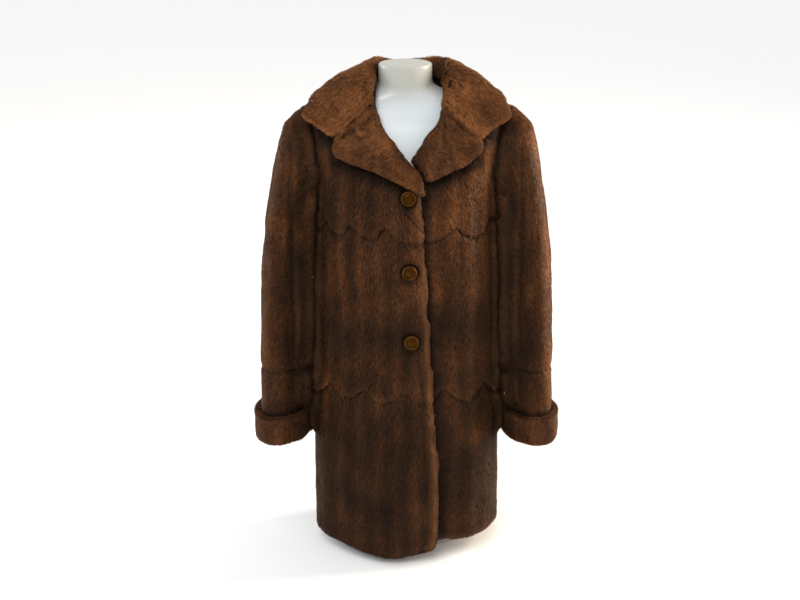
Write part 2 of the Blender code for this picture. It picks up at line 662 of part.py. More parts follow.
def collar_end(side, places, fur, tip):
    """The fall's front end: along the gorge to the notch, then free to the collar's tip."""
    mirrored = np.array([-1.0 if side == "right" else 1.0, 1.0, 1.0])
    fall, under = [], []
    for place_on_end, thick in zip(places, fur):
        share = min(place_on_end / NOTCH_PLACE, 1.0)
        x, height = GORGE[0] + (GORGE[1] - GORGE[0]) * share
        low = LAPEL_GAP + LAPEL_SPRING * ease(share)
        base = front_point(f"front_{side}", x * mirrored[0], height, low) * mirrored
        top = front_point(f"front_{side}", x * mirrored[0], height, low + COLLAR_FUR) * mirrored
        beyond = max(0.0, (place_on_end - NOTCH_PLACE) / (1 - NOTCH_PLACE))
        top_free = top + (tip - top) * beyond
        fall.append(top_free)
        under.append(top_free + (base - top) * thick / COLLAR_FUR)
    return np.array(fall), np.array(under)


def collar_station(side, share):
    """One section of the collar: round the stand, over the roll and along the fall, and back under it."""
    values = [smooth(np.linspace(0, 1, len(COLLAR)), COLLAR[:, k], share) for k in range(10)]
    seam, roll, edge = (np.array(values[k:k + 3]) for k in (0, 3, 6))
    bow = values[9]
    mirror = -1 if side == "right" else 1
    if side == "left":
        roll[0] += COLLAR_EASE_LEFT * ease(share * 2.5) * (1 - 0.8 * ease((share - 0.6) / 0.4))
        edge[0] += 0.004 * ease(share * 2)
    out = edge - roll
    out[2] = 0
    out = unit(out)
    up = np.array([0.0, 0.0, 1.0])
    along = unit(edge - roll)
    above = unit(up - along * np.dot(up, along))
    places = np.array([0.10, 0.24, 0.40, NOTCH_PLACE, 0.76, 0.90, 1.0])
    fur = COLLAR_FUR * np.array([1.0, 1.0, 1.0, 1.0, 1.0, 0.97, 0.35])
    bowed = above * bow * (4 * places * (1 - places))[:, None]
    fall = roll + (edge - roll) * places[:, None] + bowed
    under = fall - above * fur[:, None]
    end = float(ease((share - 0.80) / 0.20))
    if end > 0:
        end_fall, end_under = collar_end(side, places, fur, edge)
        fall = fall + (end_fall - fall) * end
        under = under + (end_under - under) * end
    if end < 1:
        lift = np.array([clearing_lift(side, point, above) for point in under])
        under = under + above * lift[:, None]
        fall = fall + above * lift[:, None]
    stand = seam + (roll - seam) * 0.5
    thin = STAND_FUR * (1 - 0.6 * end)
    section_points = [
        seam + out * 0.75 * thin,
        seam - out * 0.60 * thin,
        stand - out * 0.80 * thin,
        roll - out * thin - up * 0.009 * (1 - 0.8 * end),
        roll - out * 0.5 * thin - up * 0.001,
        roll + out * 0.4 * thin + up * 0.001,
        *fall,
        *under[::-1],
        roll + out * 0.5 * thin - up * 0.0125 * (1 - 0.7 * end),
        stand + out * 0.3 * thin,
    ]
    made = np.array(section_points)
    made[:, 0] *= mirror
    return made


def collar():
    """Stations from the right gorge round the back of the neck to the left gorge."""
    shares = np.linspace(0, 1, COLLAR_STEPS + 1)
    right = [collar_station("right", s) for s in shares[:0:-1]]
    left = [collar_station("left", s) for s in shares]
    sections = place(np.array(right + left))
    mesh_bm, verts = loft(sections, closed_columns=True)
    first, last = STAND_POINTS, STAND_POINTS + 2 * FALL_POINTS - 1
    for row in (verts[0], verts[-1]):
        for j in range(FALL_POINTS - 1):
            mesh_bm.faces.new((row[first + j], row[first + j + 1], row[last - j - 1], row[last - j]))
        mesh_bm.faces.new([*row[: first + 1], *row[last:]])
    return mesh_bm


# ---------------------------------------------------------------- buttons and dress form
def turned(name, profile):
    """A button turned about Z from its profile of (radius, height), top to bottom down its outer side."""
    mesh = bpy.data.meshes.new(name)
    points = [(radius, 0.0, height) for radius, height in profile]
    mesh.from_pydata(points, [(i, i + 1) for i in range(len(points) - 1)], [])
    made = bpy.data.objects.new(name, mesh)
    PARTS.objects.link(made)
    screw = made.modifiers.new("turn", "SCREW")
    screw.steps = screw.render_steps = BUTTON_STEPS
    screw.use_merge_vertices = True
    screw.merge_threshold = 0.00001
    screw.use_smooth_shade = True
    mesh.materials.append(material(name, BUTTON_COLOUR, SMOOTH_ROUGHNESS))
    return made


def build_buttons():
    rim, deep = BUTTON_RADIUS, BUTTON_DEPTH
    profile = [
        (0.0, 0.72 * deep),
        (0.50 * rim, 0.76 * deep),
        (0.70 * rim, 0.70 * deep),
        (0.80 * rim, 0.92 * deep),
        (0.90 * rim, deep),
        (0.98 * rim, 0.86 * deep),
        (rim, 0.55 * deep),
        (0.93 * rim, 0.18 * deep),
        (0.72 * rim, 0.0),
        (0.0, 0.0),
    ]
    for name, (x, height) in BUTTONS.items():
        button = turned(name, profile)
        angle = front_angle(x, height)
        _, normal = torso(angle, height)
        seat = place(face("front_right", angle, height, -BUTTON_SEAT))
        button.location = Vector(seat)
        button.rotation_euler = Vector(normal).to_track_quat("Z", "Y").to_euler()


def form_ring(height):
    """A ring of the form's torso, inside the coat's leather."""
    turn = np.arange(FORM_AROUND) * 360 / FORM_AROUND
    inset = FUR + smooth(FORM_GAP[:, 0], FORM_GAP[:, 1], height)
    point, normal = torso(turn, np.full(FORM_AROUND, height))
    ring = place(point - normal * inset)
    if height == TORSO_FOOT:
        ring[:, 2] = height
    return ring


def build_form():
    rings = [form_ring(z) for z in FORM_LEVELS]
    turn = np.radians(np.arange(FORM_AROUND) * 360 / FORM_AROUND)
    round_neck = np.stack([np.cos(turn), np.sin(turn), 0 * turn], -1)
    for radius, height in (
        (NECK_RADIUS + NECK_FLARE, NECK_FOOT[0]),
        (NECK_RADIUS, NECK_FOOT[1]),
        (NECK_RADIUS, NECK_TOP - NECK_ROUND),
        (NECK_RADIUS - 0.3 * NECK_ROUND, NECK_TOP - 0.3 * NECK_ROUND),
        (NECK_RADIUS - NECK_ROUND, NECK_TOP),
    ):
        rings.append(round_neck * radius + np.array([0.0, 0.0, height]))
    mesh_bm, verts = loft(np.array(rings), closed_columns=True)
    for row in (verts[0], verts[-1]):
        mesh_bm.faces.new(row)
    add_mesh("form_torso", mesh_bm, FORM_COLOUR, SMOOTH_ROUGHNESS)


def build_stand():
    width, deep, thick = BASE_SIZE
    plate = bmesh.new()
    bmesh.ops.create_cone(plate, cap_ends=True, segments=48, radius1=0.5, radius2=0.5, depth=1.0,
                          matrix=Matrix.Translation((0, 0, 0.5)))
    bmesh.ops.scale(plate, vec=(width, deep, thick), verts=plate.verts)
    bmesh.ops.translate(plate, vec=(0, BASE_SHIFT_Y, 0), verts=plate.verts)
    add_mesh("form_base", plate, STEEL_COLOUR, SMOOTH_ROUGHNESS, STEEL_METALLIC)
    pole = bmesh.new()
    low, high = thick + SEAM, TORSO_FOOT - SEAM
    bmesh.ops.create_cone(pole, cap_ends=True, segments=24, radius1=POLE_RADIUS, radius2=POLE_RADIUS,
                          depth=high - low, matrix=Matrix.Translation((0, 0, (low + high) / 2)))
    add_mesh("form_pole", pole, STEEL_COLOUR, SMOOTH_ROUGHNESS, STEEL_METALLIC)


for old in list(bpy.data.objects):
    bpy.data.objects.remove(old)
PARTS = bpy.data.collections.new("fur coat on dress form")
bpy.context.scene.collection.children.link(PARTS)

build_panels()
build_sleeves()
add_mesh("collar", collar(), FUR_COLOUR["edge"], FUR_ROUGHNESS)
for lapel_side in ("right", "left"):
    add_mesh(f"lapel_{lapel_side}", lapel(lapel_side), FUR_COLOUR["edge"], FUR_ROUGHNESS)
build_buttons()
build_form()
build_stand()
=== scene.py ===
"""Looks of the mink coat on its dress form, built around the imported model.

Each cloth node is replaced by a thin skin on the node's own form and by the fur that grows on it.
The fur of a node is one joined mesh of bent blades that lie down along the nap. Everything is in
metres, +Z up, with the coat's front towards -Y; "right" and "left" are the wearer's.
"""

import math

import bmesh
import bpy
import numpy as np
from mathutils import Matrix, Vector
from mathutils.bvhtree import BVHTree


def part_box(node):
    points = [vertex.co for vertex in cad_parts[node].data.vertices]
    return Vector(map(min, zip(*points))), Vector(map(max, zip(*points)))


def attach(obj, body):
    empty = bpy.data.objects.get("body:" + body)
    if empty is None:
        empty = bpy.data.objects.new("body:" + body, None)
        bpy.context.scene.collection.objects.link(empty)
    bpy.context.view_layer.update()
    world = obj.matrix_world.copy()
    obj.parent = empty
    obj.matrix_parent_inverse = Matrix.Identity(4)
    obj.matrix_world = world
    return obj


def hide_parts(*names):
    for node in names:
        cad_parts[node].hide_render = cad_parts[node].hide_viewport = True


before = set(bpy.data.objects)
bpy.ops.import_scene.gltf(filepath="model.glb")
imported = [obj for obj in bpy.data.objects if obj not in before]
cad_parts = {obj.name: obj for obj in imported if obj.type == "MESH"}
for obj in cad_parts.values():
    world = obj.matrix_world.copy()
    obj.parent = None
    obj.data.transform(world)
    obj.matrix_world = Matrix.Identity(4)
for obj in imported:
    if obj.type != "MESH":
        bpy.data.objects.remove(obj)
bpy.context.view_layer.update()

# ---- the nodes
HALVES = ("front_right", "front_left", "back")
PANELS = [f"{half}_{tier}" for half in HALVES for tier in ("upper", "middle", "lower")]
SLEEVES = [f"sleeve_{side}_{part}" for side in ("right", "left") for part in ("upper", "lower")]
CUFFS = ["cuff_right", "cuff_left"]
TRIM = ["collar", "lapel_right", "lapel_left"]
CLOTH = PANELS + SLEEVES + CUFFS + TRIM
SOLID_FORM = ["form_torso", "form_pole", "form_base"]
BUTTONS = ("button_top", "button_middle", "button_bottom")
BUTTON_RADIUS = 0.0145
AXIS = np.array((0.003, 0.0))  # the coat's axis, seen from above
CUT_SPARE = 1.12  # the area of a cut's rectangle, for the piece's
# A cut's length where it isn't the piece's height: along neck and lapels, over the cuffs' rims.
RUN = {"collar": 0.6, "lapel_right": 0.19, "lapel_left": 0.14, "cuff_right": 0.088, "cuff_left": 0.088}

# ---- the blades of fur
SEED = 7
BLADES, BLADES_QUICK, MOST_BLADES = 440_000, 160_000, 98_000
TRIM_DENSITY, UNSEEN_DENSITY = 1.15, 0.35  # how dense on collar, lapels and cuffs; where closed in
PELT = 0.012  # depth of the pelt
LEAST_PELT, MOST_PELT = 0.0012, 1.12 * PELT
SKIN_DEPTH = 0.68  # how deep the hide lies, as a share of the pelt's depth
ROOT_DEPTH, MIDDLE_DEPTH = 0.6, 0.2  # how deep a hair starts, and where its middle is
HAIR_LAY = 0.014  # how far a hair reaches along the nap
ROOT_BACK, MIDDLE_BACK, TIP_AHEAD = 0.6, 0.12, 0.4  # shares of that, from its place
HAIR_WIDTH = 0.0019
HAIR_FAN, HAIR_TWIST, HAIR_TILT = 0.15, 0.35, 0.16  # how far they stray, twist and shade tilted
LIFT_WAVES = ((0.03, 6, 0.0008), (0.009, 7, 0.0003))  # cell, seed, how far hairs stand up together
LIFT_SPREAD, LAY_SPREAD, WIDTH_SPREAD = 0.0003, (0.75, 1.2), (0.7, 1.3)
THIN_LAY = 0.55  # how long hairs are where the pelt has no depth
BARE_SHORT, EDGE_SHORT = 0.55, 0.45  # how much shorter where bare, and round edges
CLUMP, CLUMP_CELL = 0.0011, 0.0075  # how far tips draw together, over what distance
TIP_TUCK = 0.0022  # how far tips bend in where fur turns round an edge
LEDGE, LEDGE_RISE = 0.01, 0.0014  # the strip over a scalloped seam where it is thicker
TUCK, TUCK_DEPTH = 0.005, 0.0024  # the strip under one where it starts low
SEAM_STRIP, SEAM_FADE = 0.006, 0.01  # the strip where hairs don't turn round a seam's edge
BUTTON_CLEAR = 0.93  # no hair starts within this share of a button's radius
BARE_RING, BARE_FADE = 1.04, 0.0055  # up to this share, the fur is bare
BARE_DEPTH = 0.62  # how deep the hairs lie there, as a share of the pelt's depth
PARTING_WIDTH = 0.0035
# A place is an x and a height on the coat, seen from the front.
PARTINGS = (  # partings on the right front, dark with painted shade, from one place to another
    ((0.0, 0.736), (0.034, 0.702)),
    ((0.029, 0.478), (0.037, 0.474)),
    ((0.023, 0.621), (0.029, 0.619)),
)
NAP_TURNS = ((0.055, 1, 0.2), (0.018, 2, 0.14))  # cell, seed, how far the nap wanders
NAP_OUT, NAP_OUT_COLLAR = 0.45, 0.9  # how far the nap lies outwards, for how far down
LAPEL_NAP, EDGE_NAP = 0.9, 2.2  # the same on lapels, away from the middle, and round edges

# ---- the form of the fur
VOXEL, VOXEL_TRIM = 0.006, 0.0036  # size of the faces under the fur; on collar, lapels and cuffs
NEAR_ROUNDS, BROAD_ROUNDS = 3, 14  # rounds of evening out; the second reach 20 mm
EDGE_GAIN = 2.2  # how soon the fur counts as turned round an edge
FRONT_TURN = 0.35  # a face that looks this far to the front is seen from there
CLOSE, CLOSE_FADE = 0.034, 0.3  # where a sleeve and the body are nearer than this, their fur meets
JOIN = 0.01  # and nearer than this, the hide comes up to the fur
CLOSE_FILL = 0.92  # how much of the slit each side's fur fills
LEVEL_WEIGHT = (1.0, 0.4, 0.2)  # it is looked for sideways rather than up
HEAD_LEAN, HEAD_HEIGHT, HEAD_FADE = 0.011, 0.875, 0.035  # how far a sleeve's head leans in, from where
EDGE_PUFF = 0.0036  # how far the fur swells beside the edges of collar, lapels and cuffs
PUFF_PLACE, PUFF_WIDTH = 0.34, 0.24  # where, as edge_share says
WAVE, WAVE_CELL = 0.0018, 0.05  # how far all the fur rises and falls, and over what distance
TRIM_WAVE, TRIM_CELL = 0.0026, 0.028  # and more on collar and lapels
ROLL_WIDTH, ROLL_RISE = 0.007, 0.0045  # half width and height of the right front's rolled edge
ROLL_LUMPS, ROLL_CELL = 0.45, 0.034
ROLL_TOP, ROLL_FADE = 0.8, 0.02  # height where it passes under the lapel
VALLEY = 0.0032  # depth of the valley beside it
ROLL_PLACE, VALLEY_PLACE = 0.85, 3.2  # how far in both are from the edge, in half widths of the roll
EDGE_STEP, EDGE_BAND = 0.008, 0.007  # spacing and height of the levels that find the edge
FACING = 0.03  # the strip inside the right front's edge that has no lining
FOLD_X, FOLD_X_BACK = 0.224, 0.238  # the long folds down each sleeve's front and back, from the axis
FOLD_DEPTH, FOLD_WIDTH, FOLD_WANDER = 0.006, 0.007, 0.003
FOLD_TOP, TOP_FADE, FOLD_FOOT, FOOT_FADE = 0.88, 0.05, 0.4, 0.08
BACK_FOLD = (0.5, 1.6)  # depth and width of the back's fold, for the front's
PELTS_AROUND, PELTS_SLEEVE, PELT_RISE = 26, 8, 0.0005  # bands round the coat, a sleeve; their height
CREASES = (  # on collar and lapels, from one place to another: half width, depth
    ((-0.102, 0.892), (-0.069, 0.854), 0.005, 0.004),
    ((-0.079, 0.878), (-0.052, 0.866), 0.004, 0.003),
    ((-0.118, 0.876), (-0.058, 0.91), 0.004, 0.0055),
    ((-0.053, 0.848), (-0.004, 0.806), 0.006, 0.0018),
    ((-0.085, 0.992), (-0.072, 0.949), 0.006, 0.003),
    ((-0.15, 0.95), (-0.12, 0.905), 0.009, 0.0022),
    ((0.076, 0.924), (0.072, 0.876), 0.0055, 0.004),
    ((0.072, 0.876), (0.086, 0.839), 0.005, 0.0034),
    ((0.08, 0.914), (0.128, 0.877), 0.004, 0.0055),
    ((0.078, 0.983), (0.1, 0.94), 0.007, 0.0034),
    ((0.128, 0.965), (0.15, 0.915), 0.009, 0.0022),
)
PULLS = (  # corners drawn out: piece, place, radius, how far over and up
    ("collar", (-0.178, 0.902), 0.024, (-0.013, 0.0)),
    ("collar", (0.187, 0.902), 0.024, (0.009, 0.0)),
    ("collar", (-0.062, 0.931), 0.013, (0.004, -0.008)),
    ("collar", (0.077, 0.931), 0.013, (-0.004, -0.008)),
    ("lapel_right", (-0.061, 0.916), 0.013, (0.002, 0.009)),
    ("lapel_left", (0.076, 0.916), 0.013, (-0.002, 0.009)),
)
NAPE_DROP, NAPE_WIDTH = 0.011, 0.065  # how much lower the collar's fold lies behind the neck
NAPE_Y, NAPE_Y_FADE, NAPE_HEIGHT, NAPE_FADE = 0.04, 0.03, 0.955, 0.04
MOST_WALL = 0.03  # a wall is thinner than this
INWARD = -0.3  # a face that looks in further than this is the wall's inner side
FREE_EDGE = 0.012  # an edge's face that sees this far isn't at a seam
FAR, FAR_ENOUGH = 0.6, 0.59  # longer than any way through the coat: a ray this long left it
TRIM_REACH, TRIM_FREE = 0.06, 0.055  # the same on collar and lapels, where less is enough
SLEEVE_HEAD = 0.06  # a sleeve's rounded head starts this far below its top

# ---- how light the fur is: its own tone, and painted light and shade
BODY_LIGHT = (  # heights, and how light the body is there
    (0.02, 0.2, 0.34, 0.42, 0.495, 0.56, 0.68, 0.75, 0.86, 0.95),
    (-0.3, -0.36, -0.18, -0.02, -0.34, 0.04, 0.14, 0.14, 0.26, 0.36),
)
SLEEVE_LIGHT = ((0.24, 0.42, 0.6, 0.8, 0.92), (-0.05, -0.16, -0.06, 0.1, 0.32))
SIDE_PAINTED_LIGHT = 0.22  # painted light and shade: how much lighter the body's left side is, and darker its right
SIDE_FOOT, SIDE_FADE, SIDE_MIDDLE, SIDE_WIDTH = 0.45, 0.3, 0.04, 0.1  # from this height, round this x
TRIM_LIGHT = {"collar": 0.58, "lapel_right": 0.24, "lapel_left": 0.2}
# on collar and lapels, painted light and shade that follow their fur's rise and fall (TRIM_WAVE); on the
# cuffs, patches at random
CUFF_LIGHT, TRIM_PATCH_AND_RELIEF_LIGHT = 0.06, 0.16
OUTER_PAINTED_LIGHT = {"right": 0.26, "left": 0.44}  # painted light: how much lighter each sleeve is outside its fold
OUTER_PLACE, OUTER_FADE = 0.012, 0.05
FOLD_PAINTED_SHADE = 0.45  # painted shade in the fold
INNER_PAINTED_SHADE, INNER_FADE = 0.06, 0.01  # and on the sleeve inside it
PELT_LIGHT = 0.12
PATCHES = (  # light and dark patches: cell, seed, how much
    ((0.005, 0.005, 0.022), 14, 0.05),
    ((0.008, 0.008, 0.05), 4, 0.05),
    ((0.03, 0.03, 0.16), 9, 0.22),
    (0.06, 5, 0.32),
    # painted light and shade that follow the fur's rise and fall (WAVE): lighter where it rises
    (WAVE_CELL, 10, 0.12),
)
SHADOWS = (  # under collar and lapels, from one place to another: half width, how much
    ((-0.132, 0.826), (-0.045, 0.802), 0.016, 0.6),
    ((-0.045, 0.802), (0.004, 0.776), 0.012, 0.45),
    ((0.04, 0.78), (0.135, 0.824), 0.012, 0.45),
    ((-0.172, 0.862), (-0.14, 0.852), 0.012, 0.4),
)
GLINTS = (  # where the fur of collar and lapels shines: place, radius, how much
    ((-0.118, 0.896), 0.024, 0.85),
    ((-0.086, 0.884), 0.016, 0.5),
    ((0.126, 0.892), 0.018, 0.55),
    ((-0.09, 0.972), 0.026, 0.3),
    ((0.098, 0.966), 0.026, 0.45),
)
SWIRL_CELL = 0.011  # size of the swirls in a glint
CREASE_PAINTED_SHADE = 70  # painted shade in a crease, for each metre of its depth
PAINTED_SHADE_WIDTH = 0.8  # width of a fold's or a crease's painted shade, for its form's
OPEN_GAIN, CLOSED_DARK, CLOSED_POWER = 1.12, 1.3, 1.2  # how dark fur is that sees little light
SHUT_PAINTED_SHADE, SHUT_FROM = 1.5, 0.06  # and the painted shade where something stands close in front of it
SEAM_OPEN = 0.8  # the share of that which doesn't count by a seam
JOIN_PAINTED_SHADE = 0.34  # and how much more painted shade there is where a sleeve joins the body
# painted shade on bare fur round buttons and along partings, and in the strip under a scalloped seam
BARE_PAINTED_SHADE, TUCK_PAINTED_SHADE = 0.9, 0.6
EDGE_RIM_LIGHT, TRIM_RIM_LIGHT, LEDGE_RIM_LIGHT, ROLL_HIGHLIGHT = 0.7, 1.2, 0.1, 0.44  # how much of the painted rim light's colour they have
# how much the painted highlight on the roll changes in patches
ROLL_HIGHLIGHT_PATCH = 0.36
LOOKS, LOOK_REACH = 22, 0.4  # directions that a face looks in, and how far
SKY_SHARE = 0.45  # worth of a direction away from the light
LIGHT_FROM = np.array([-0.15, -0.55, 0.82])
CROWDED = 0.035  # what is nearer than this to the fur takes its light


# ---- helpers
def unit(v):
    return v / np.maximum(np.linalg.norm(v, axis=-1, keepdims=True), 1e-12)


def dot(a, b):
    return np.sum(a * b, axis=-1, keepdims=True)


def bell(away, width):
    """1 in the middle, and almost 0 from twice the width."""
    return np.exp(-((away / width) ** 2))


def ease(t):
    """0 to 1 with no corner at either end."""
    t = np.clip(t, 0.0, 1.0)
    return t * t * (3 - 2 * t)


def noise(points, cell, seed):
    """Smooth noise, about -1 to 1, with slopes at random over a lattice of this size in metres."""
    grid = points / np.asarray(cell)
    base = np.floor(grid).astype(np.int64)
    part = grid - base
    smooth = ease(part)
    total = np.zeros(len(points))
    for corner in np.ndindex(2, 2, 2):
        x, y, z = (base + np.array(corner)).T
        mixed = (x * 73856093) ^ (y * 19349663) ^ (z * 83492791) ^ (seed * 265443576)
        mixed = ((mixed ^ (mixed >> 13)) * 1274126177) & 0x7FFFFFFF
        mixed = ((mixed ^ (mixed >> 15)) * 668265263) & 0x7FFFFFFF
        slope = np.stack([(mixed >> shift) & 1023 for shift in (0, 10, 20)], -1) / 511.5 - 1
        share = np.prod(np.where(corner, smooth, 1 - smooth), axis=1)
        total += share * np.sum(slope * (part - np.array(corner)), axis=1)
    return np.clip(1.7 * total, -1, 1)


def linked(name, data):
    made = bpy.data.objects.new(name, data)
    bpy.context.scene.collection.objects.link(made)
    return made


def from_mesh(mesh):
    """Points and triangles of a mesh."""
    mesh.calc_loop_triangles()
    points = np.empty(len(mesh.vertices) * 3)
    mesh.vertices.foreach_get("co", points)
    triangles = np.empty(len(mesh.loop_triangles) * 3, int)
    mesh.loop_triangles.foreach_get("vertices", triangles)
    return points.reshape(-1, 3), triangles.reshape(-1, 3)


def to_mesh(name, made):
    """A mesh of what a bmesh holds."""
    mesh = bpy.data.meshes.new(name)
    made.to_mesh(mesh)
    made.free()
    return mesh


def welded(name):
    """Points and triangles of a CAD node, with the points that share a place joined."""
    points, triangles = from_mesh(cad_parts[name].data)
    points, index = np.unique(np.round(points, 6), axis=0, return_inverse=True)
    return points, index.ravel()[triangles]


WELDED = {name: welded(name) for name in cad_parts}


def gathered(values, triangles, count):
    """The sum at each point of what its faces have."""
    total = np.zeros((count, values.shape[1]))
    for k in range(3):
        np.add.at(total, triangles[:, k], values)
    return total


def point_normals(points, triangles):
    """The way each point looks: the mean of its faces', larger ones more."""
    a, b, c = (points[triangles[:, k]] for k in range(3))
    return unit(gathered(np.cross(b - a, c - a), triangles, len(points)))


def reach(where, starts, directions, limit):
    """How far a ray runs from each start before it hits, or the limit."""
    found = np.full(len(starts), limit)
    for i, (start, direction) in enumerate(zip(starts.tolist(), directions.tolist())):
        hit = where.ray_cast(Vector(start), Vector(direction), limit)[3]
        if hit is not None:
            found[i] = hit
    return found


def from_line(points, start, end):
    """How far points lie, seen from the front, from the line between two places (x, height)."""
    off, line = points[:, [0, 2]] - start, np.array(end) - start
    along = np.clip(off @ line / max(line @ line, 1e-12), 0, 1)
    return np.linalg.norm(off - along[:, None] * line, axis=1)


def strokes(points, lines, widen=1.0):
    """The sum of soft strokes on the front."""
    return sum(much * bell(from_line(points, a, b), widen * width) for a, b, width, much in lines)


def spots(points, places):
    """The same of soft round spots."""
    return sum(much * bell(from_line(points, place, place), radius) for place, radius, much in places)


def to_front(normal):
    """How squarely faces look to the front, 0 to 1."""
    return ease(-normal[:, 1] / FRONT_TURN)


def waves(points, table):
    """The sum of noises: cell, seed, how much."""
    return sum(much * noise(points, cell, SEED + seed) for cell, seed, much in table)


def around(name, points):
    """Angle of each point round its panel's or sleeve's axis."""
    middle = AXIS if name in PANELS else np.array(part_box(name)).mean(axis=0)[:2]
    x, y = (points[:, :2] - middle).T
    return np.arctan2(y, x)


def pelts(name, points):
    """Bands of pelt side by side, -1 to 1."""
    count = PELTS_AROUND if name in PANELS else PELTS_SLEEVE
    return np.cos(around(name, points) * count + 1.4 * noise(points, (0.5, 0.5, 0.1), SEED + 3))


# ---- the forms that the fur grows on
def plain_mesh(name, points, triangles):
    mesh = bpy.data.meshes.new(name)
    mesh.from_pydata(points.tolist(), [], triangles.tolist())
    return mesh


def evened(name):
    """The node's form in small even faces with its edges rounded, as points and triangles."""
    trim = name in TRIM + CUFFS
    mesh = plain_mesh("coarse", *WELDED[name])
    piece = linked("coarse", mesh)
    even = piece.modifiers.new("even", "REMESH")
    even.mode = "VOXEL"
    even.voxel_size = VOXEL_TRIM if trim else VOXEL
    soft = piece.modifiers.new("soft", "SMOOTH")
    soft.factor = 0.5
    soft.iterations = 8 if trim else 4
    made = from_mesh(piece.evaluated_get(bpy.context.evaluated_depsgraph_get()).to_mesh())
    bpy.data.objects.remove(piece)
    bpy.data.meshes.remove(mesh)
    return made


EVEN = {name: evened(name) for name in CLOTH}


def joined_tree(meshes):
    """One tree of several meshes, to cast rays at."""
    points, triangles, start = [], [], 0
    for mesh in meshes:
        points.append(mesh[0])
        triangles.append(mesh[1] + start)
        start += len(mesh[0])
    return BVHTree.FromPolygons(np.concatenate(points).tolist(), np.concatenate(triangles).tolist())


BODY_TREE = joined_tree([EVEN[name] for name in PANELS])
SLEEVES_TREE = joined_tree([EVEN[name] for name in SLEEVES])
ACROSS = {**dict.fromkeys(PANELS, SLEEVES_TREE), **dict.fromkeys(SLEEVES, BODY_TREE)}


def evened_out(values, triangles, rounds):
    """Values at points, each averaged with its neighbours' a few times."""
    ends = np.concatenate([triangles[:, [0, 1]], triangles[:, [1, 2]], triangles[:, [2, 0]]])
    first, second = np.concatenate([ends, ends[:, ::-1]]).T
    weight = np.bincount(first, minlength=len(values))[:, None] + 2
    for _ in range(rounds):
        columns = [np.bincount(first, values[second, k], len(values)) for k in range(values.shape[1])]
        values = (np.stack(columns, -1) + 2 * values) / weight
    return values


def meeting(name, points, triangles, normal):
    """How far the fur stands out to meet the fur across the slit between a sleeve and the body."""
    if name not in ACROSS:
        return np.zeros(len(points))
    level = unit(normal * LEVEL_WEIGHT)
    slit = reach(ACROSS[name], points + level * 0.0002, level, CLOSE)
    fill = CLOSE_FILL * slit * ease((CLOSE - slit) / (CLOSE_FADE * CLOSE))
    return evened_out(fill[:, None], triangles, NEAR_ROUNDS)[:, 0]


def hide_share(name, points):
    """How far the hide lies in under the fur, 1 in the open and 0 where a sleeve joins the body."""
    if name not in ACROSS:
        return np.ones(len(points))
    found = (ACROSS[name].find_nearest(Vector(point), JOIN)[3] for point in points.tolist())
    return ease(np.array([1.0 if away is None else away / JOIN for away in found]))


def front_edge():
    """How far over the right front reaches at each height: heights, x."""
    points = np.concatenate([EVEN[name][0] for name in PANELS if name.startswith("front_right")])
    heights = np.arange(points[:, 2].min(), ROLL_TOP + ROLL_FADE, EDGE_STEP)
    bands = (np.abs(points[:, 2] - level) < EDGE_BAND for level in heights)
    return heights, np.array([points[band, 0].max() for band in bands])


FRONT_EDGE = front_edge()


def from_front_edge(points):
    """How far in from the right front's edge points lie."""
    return np.interp(points[:, 2], *FRONT_EDGE) - points[:, 0]


def roll_share(name, points, place=ROLL_PLACE):
    """Where the right front's rolled edge stands, or what runs beside it, 0 to 1."""
    if not name.startswith("front_right"):
        return np.zeros(len(points))
    below = ease((ROLL_TOP - points[:, 2]) / ROLL_FADE)
    return bell(from_front_edge(points) - place * ROLL_WIDTH, ROLL_WIDTH) * below


def fold_share(points, place, width):
    """Where a sleeve's long fold runs, 0 to 1, between the shoulder and the cuff's seam."""
    off = np.abs(points[:, 0] - AXIS[0]) - place
    off -= FOLD_WANDER * noise(points, (1.0, 1.0, 0.09), SEED + 12)
    upper = ease((FOLD_TOP - points[:, 2]) / TOP_FADE)
    return bell(off, width) * upper * ease((points[:, 2] - FOLD_FOOT) / FOOT_FADE)


def edge_share(normal, triangles):
    """How near a free edge each point is: about 0.8 on the edge, 0 from 20 mm in."""
    return 1 - np.linalg.norm(evened_out(normal, triangles, BROAD_ROUNDS), axis=1)


def relief(name, points, triangles, normal):
    """How far the fur's face stands out from the plain form: rolls, folds, creases and pelts."""
    front, back = to_front(normal), to_front(-normal)
    raised = WAVE * noise(points, WAVE_CELL, SEED + 10)
    if name in PANELS:
        lumps = 1 + ROLL_LUMPS * noise(points, ROLL_CELL, SEED + 15)
        raised += PELT_RISE * pelts(name, points)
        raised += ROLL_RISE * lumps * front * roll_share(name, points)
        raised -= VALLEY * front * roll_share(name, points, VALLEY_PLACE)
    elif name in SLEEVES:
        shallower, wider = BACK_FOLD
        raised += PELT_RISE * pelts(name, points)
        raised -= FOLD_DEPTH * front * fold_share(points, FOLD_X, FOLD_WIDTH)
        raised -= shallower * FOLD_DEPTH * back * fold_share(points, FOLD_X_BACK, wider * FOLD_WIDTH)
    else:
        raised += EDGE_PUFF * bell(edge_share(normal, triangles) - PUFF_PLACE, PUFF_WIDTH)
    if name in TRIM:
        raised += TRIM_WAVE * noise(points, TRIM_CELL, SEED + 11)
        raised -= front * strokes(points, CREASES)
    return raised


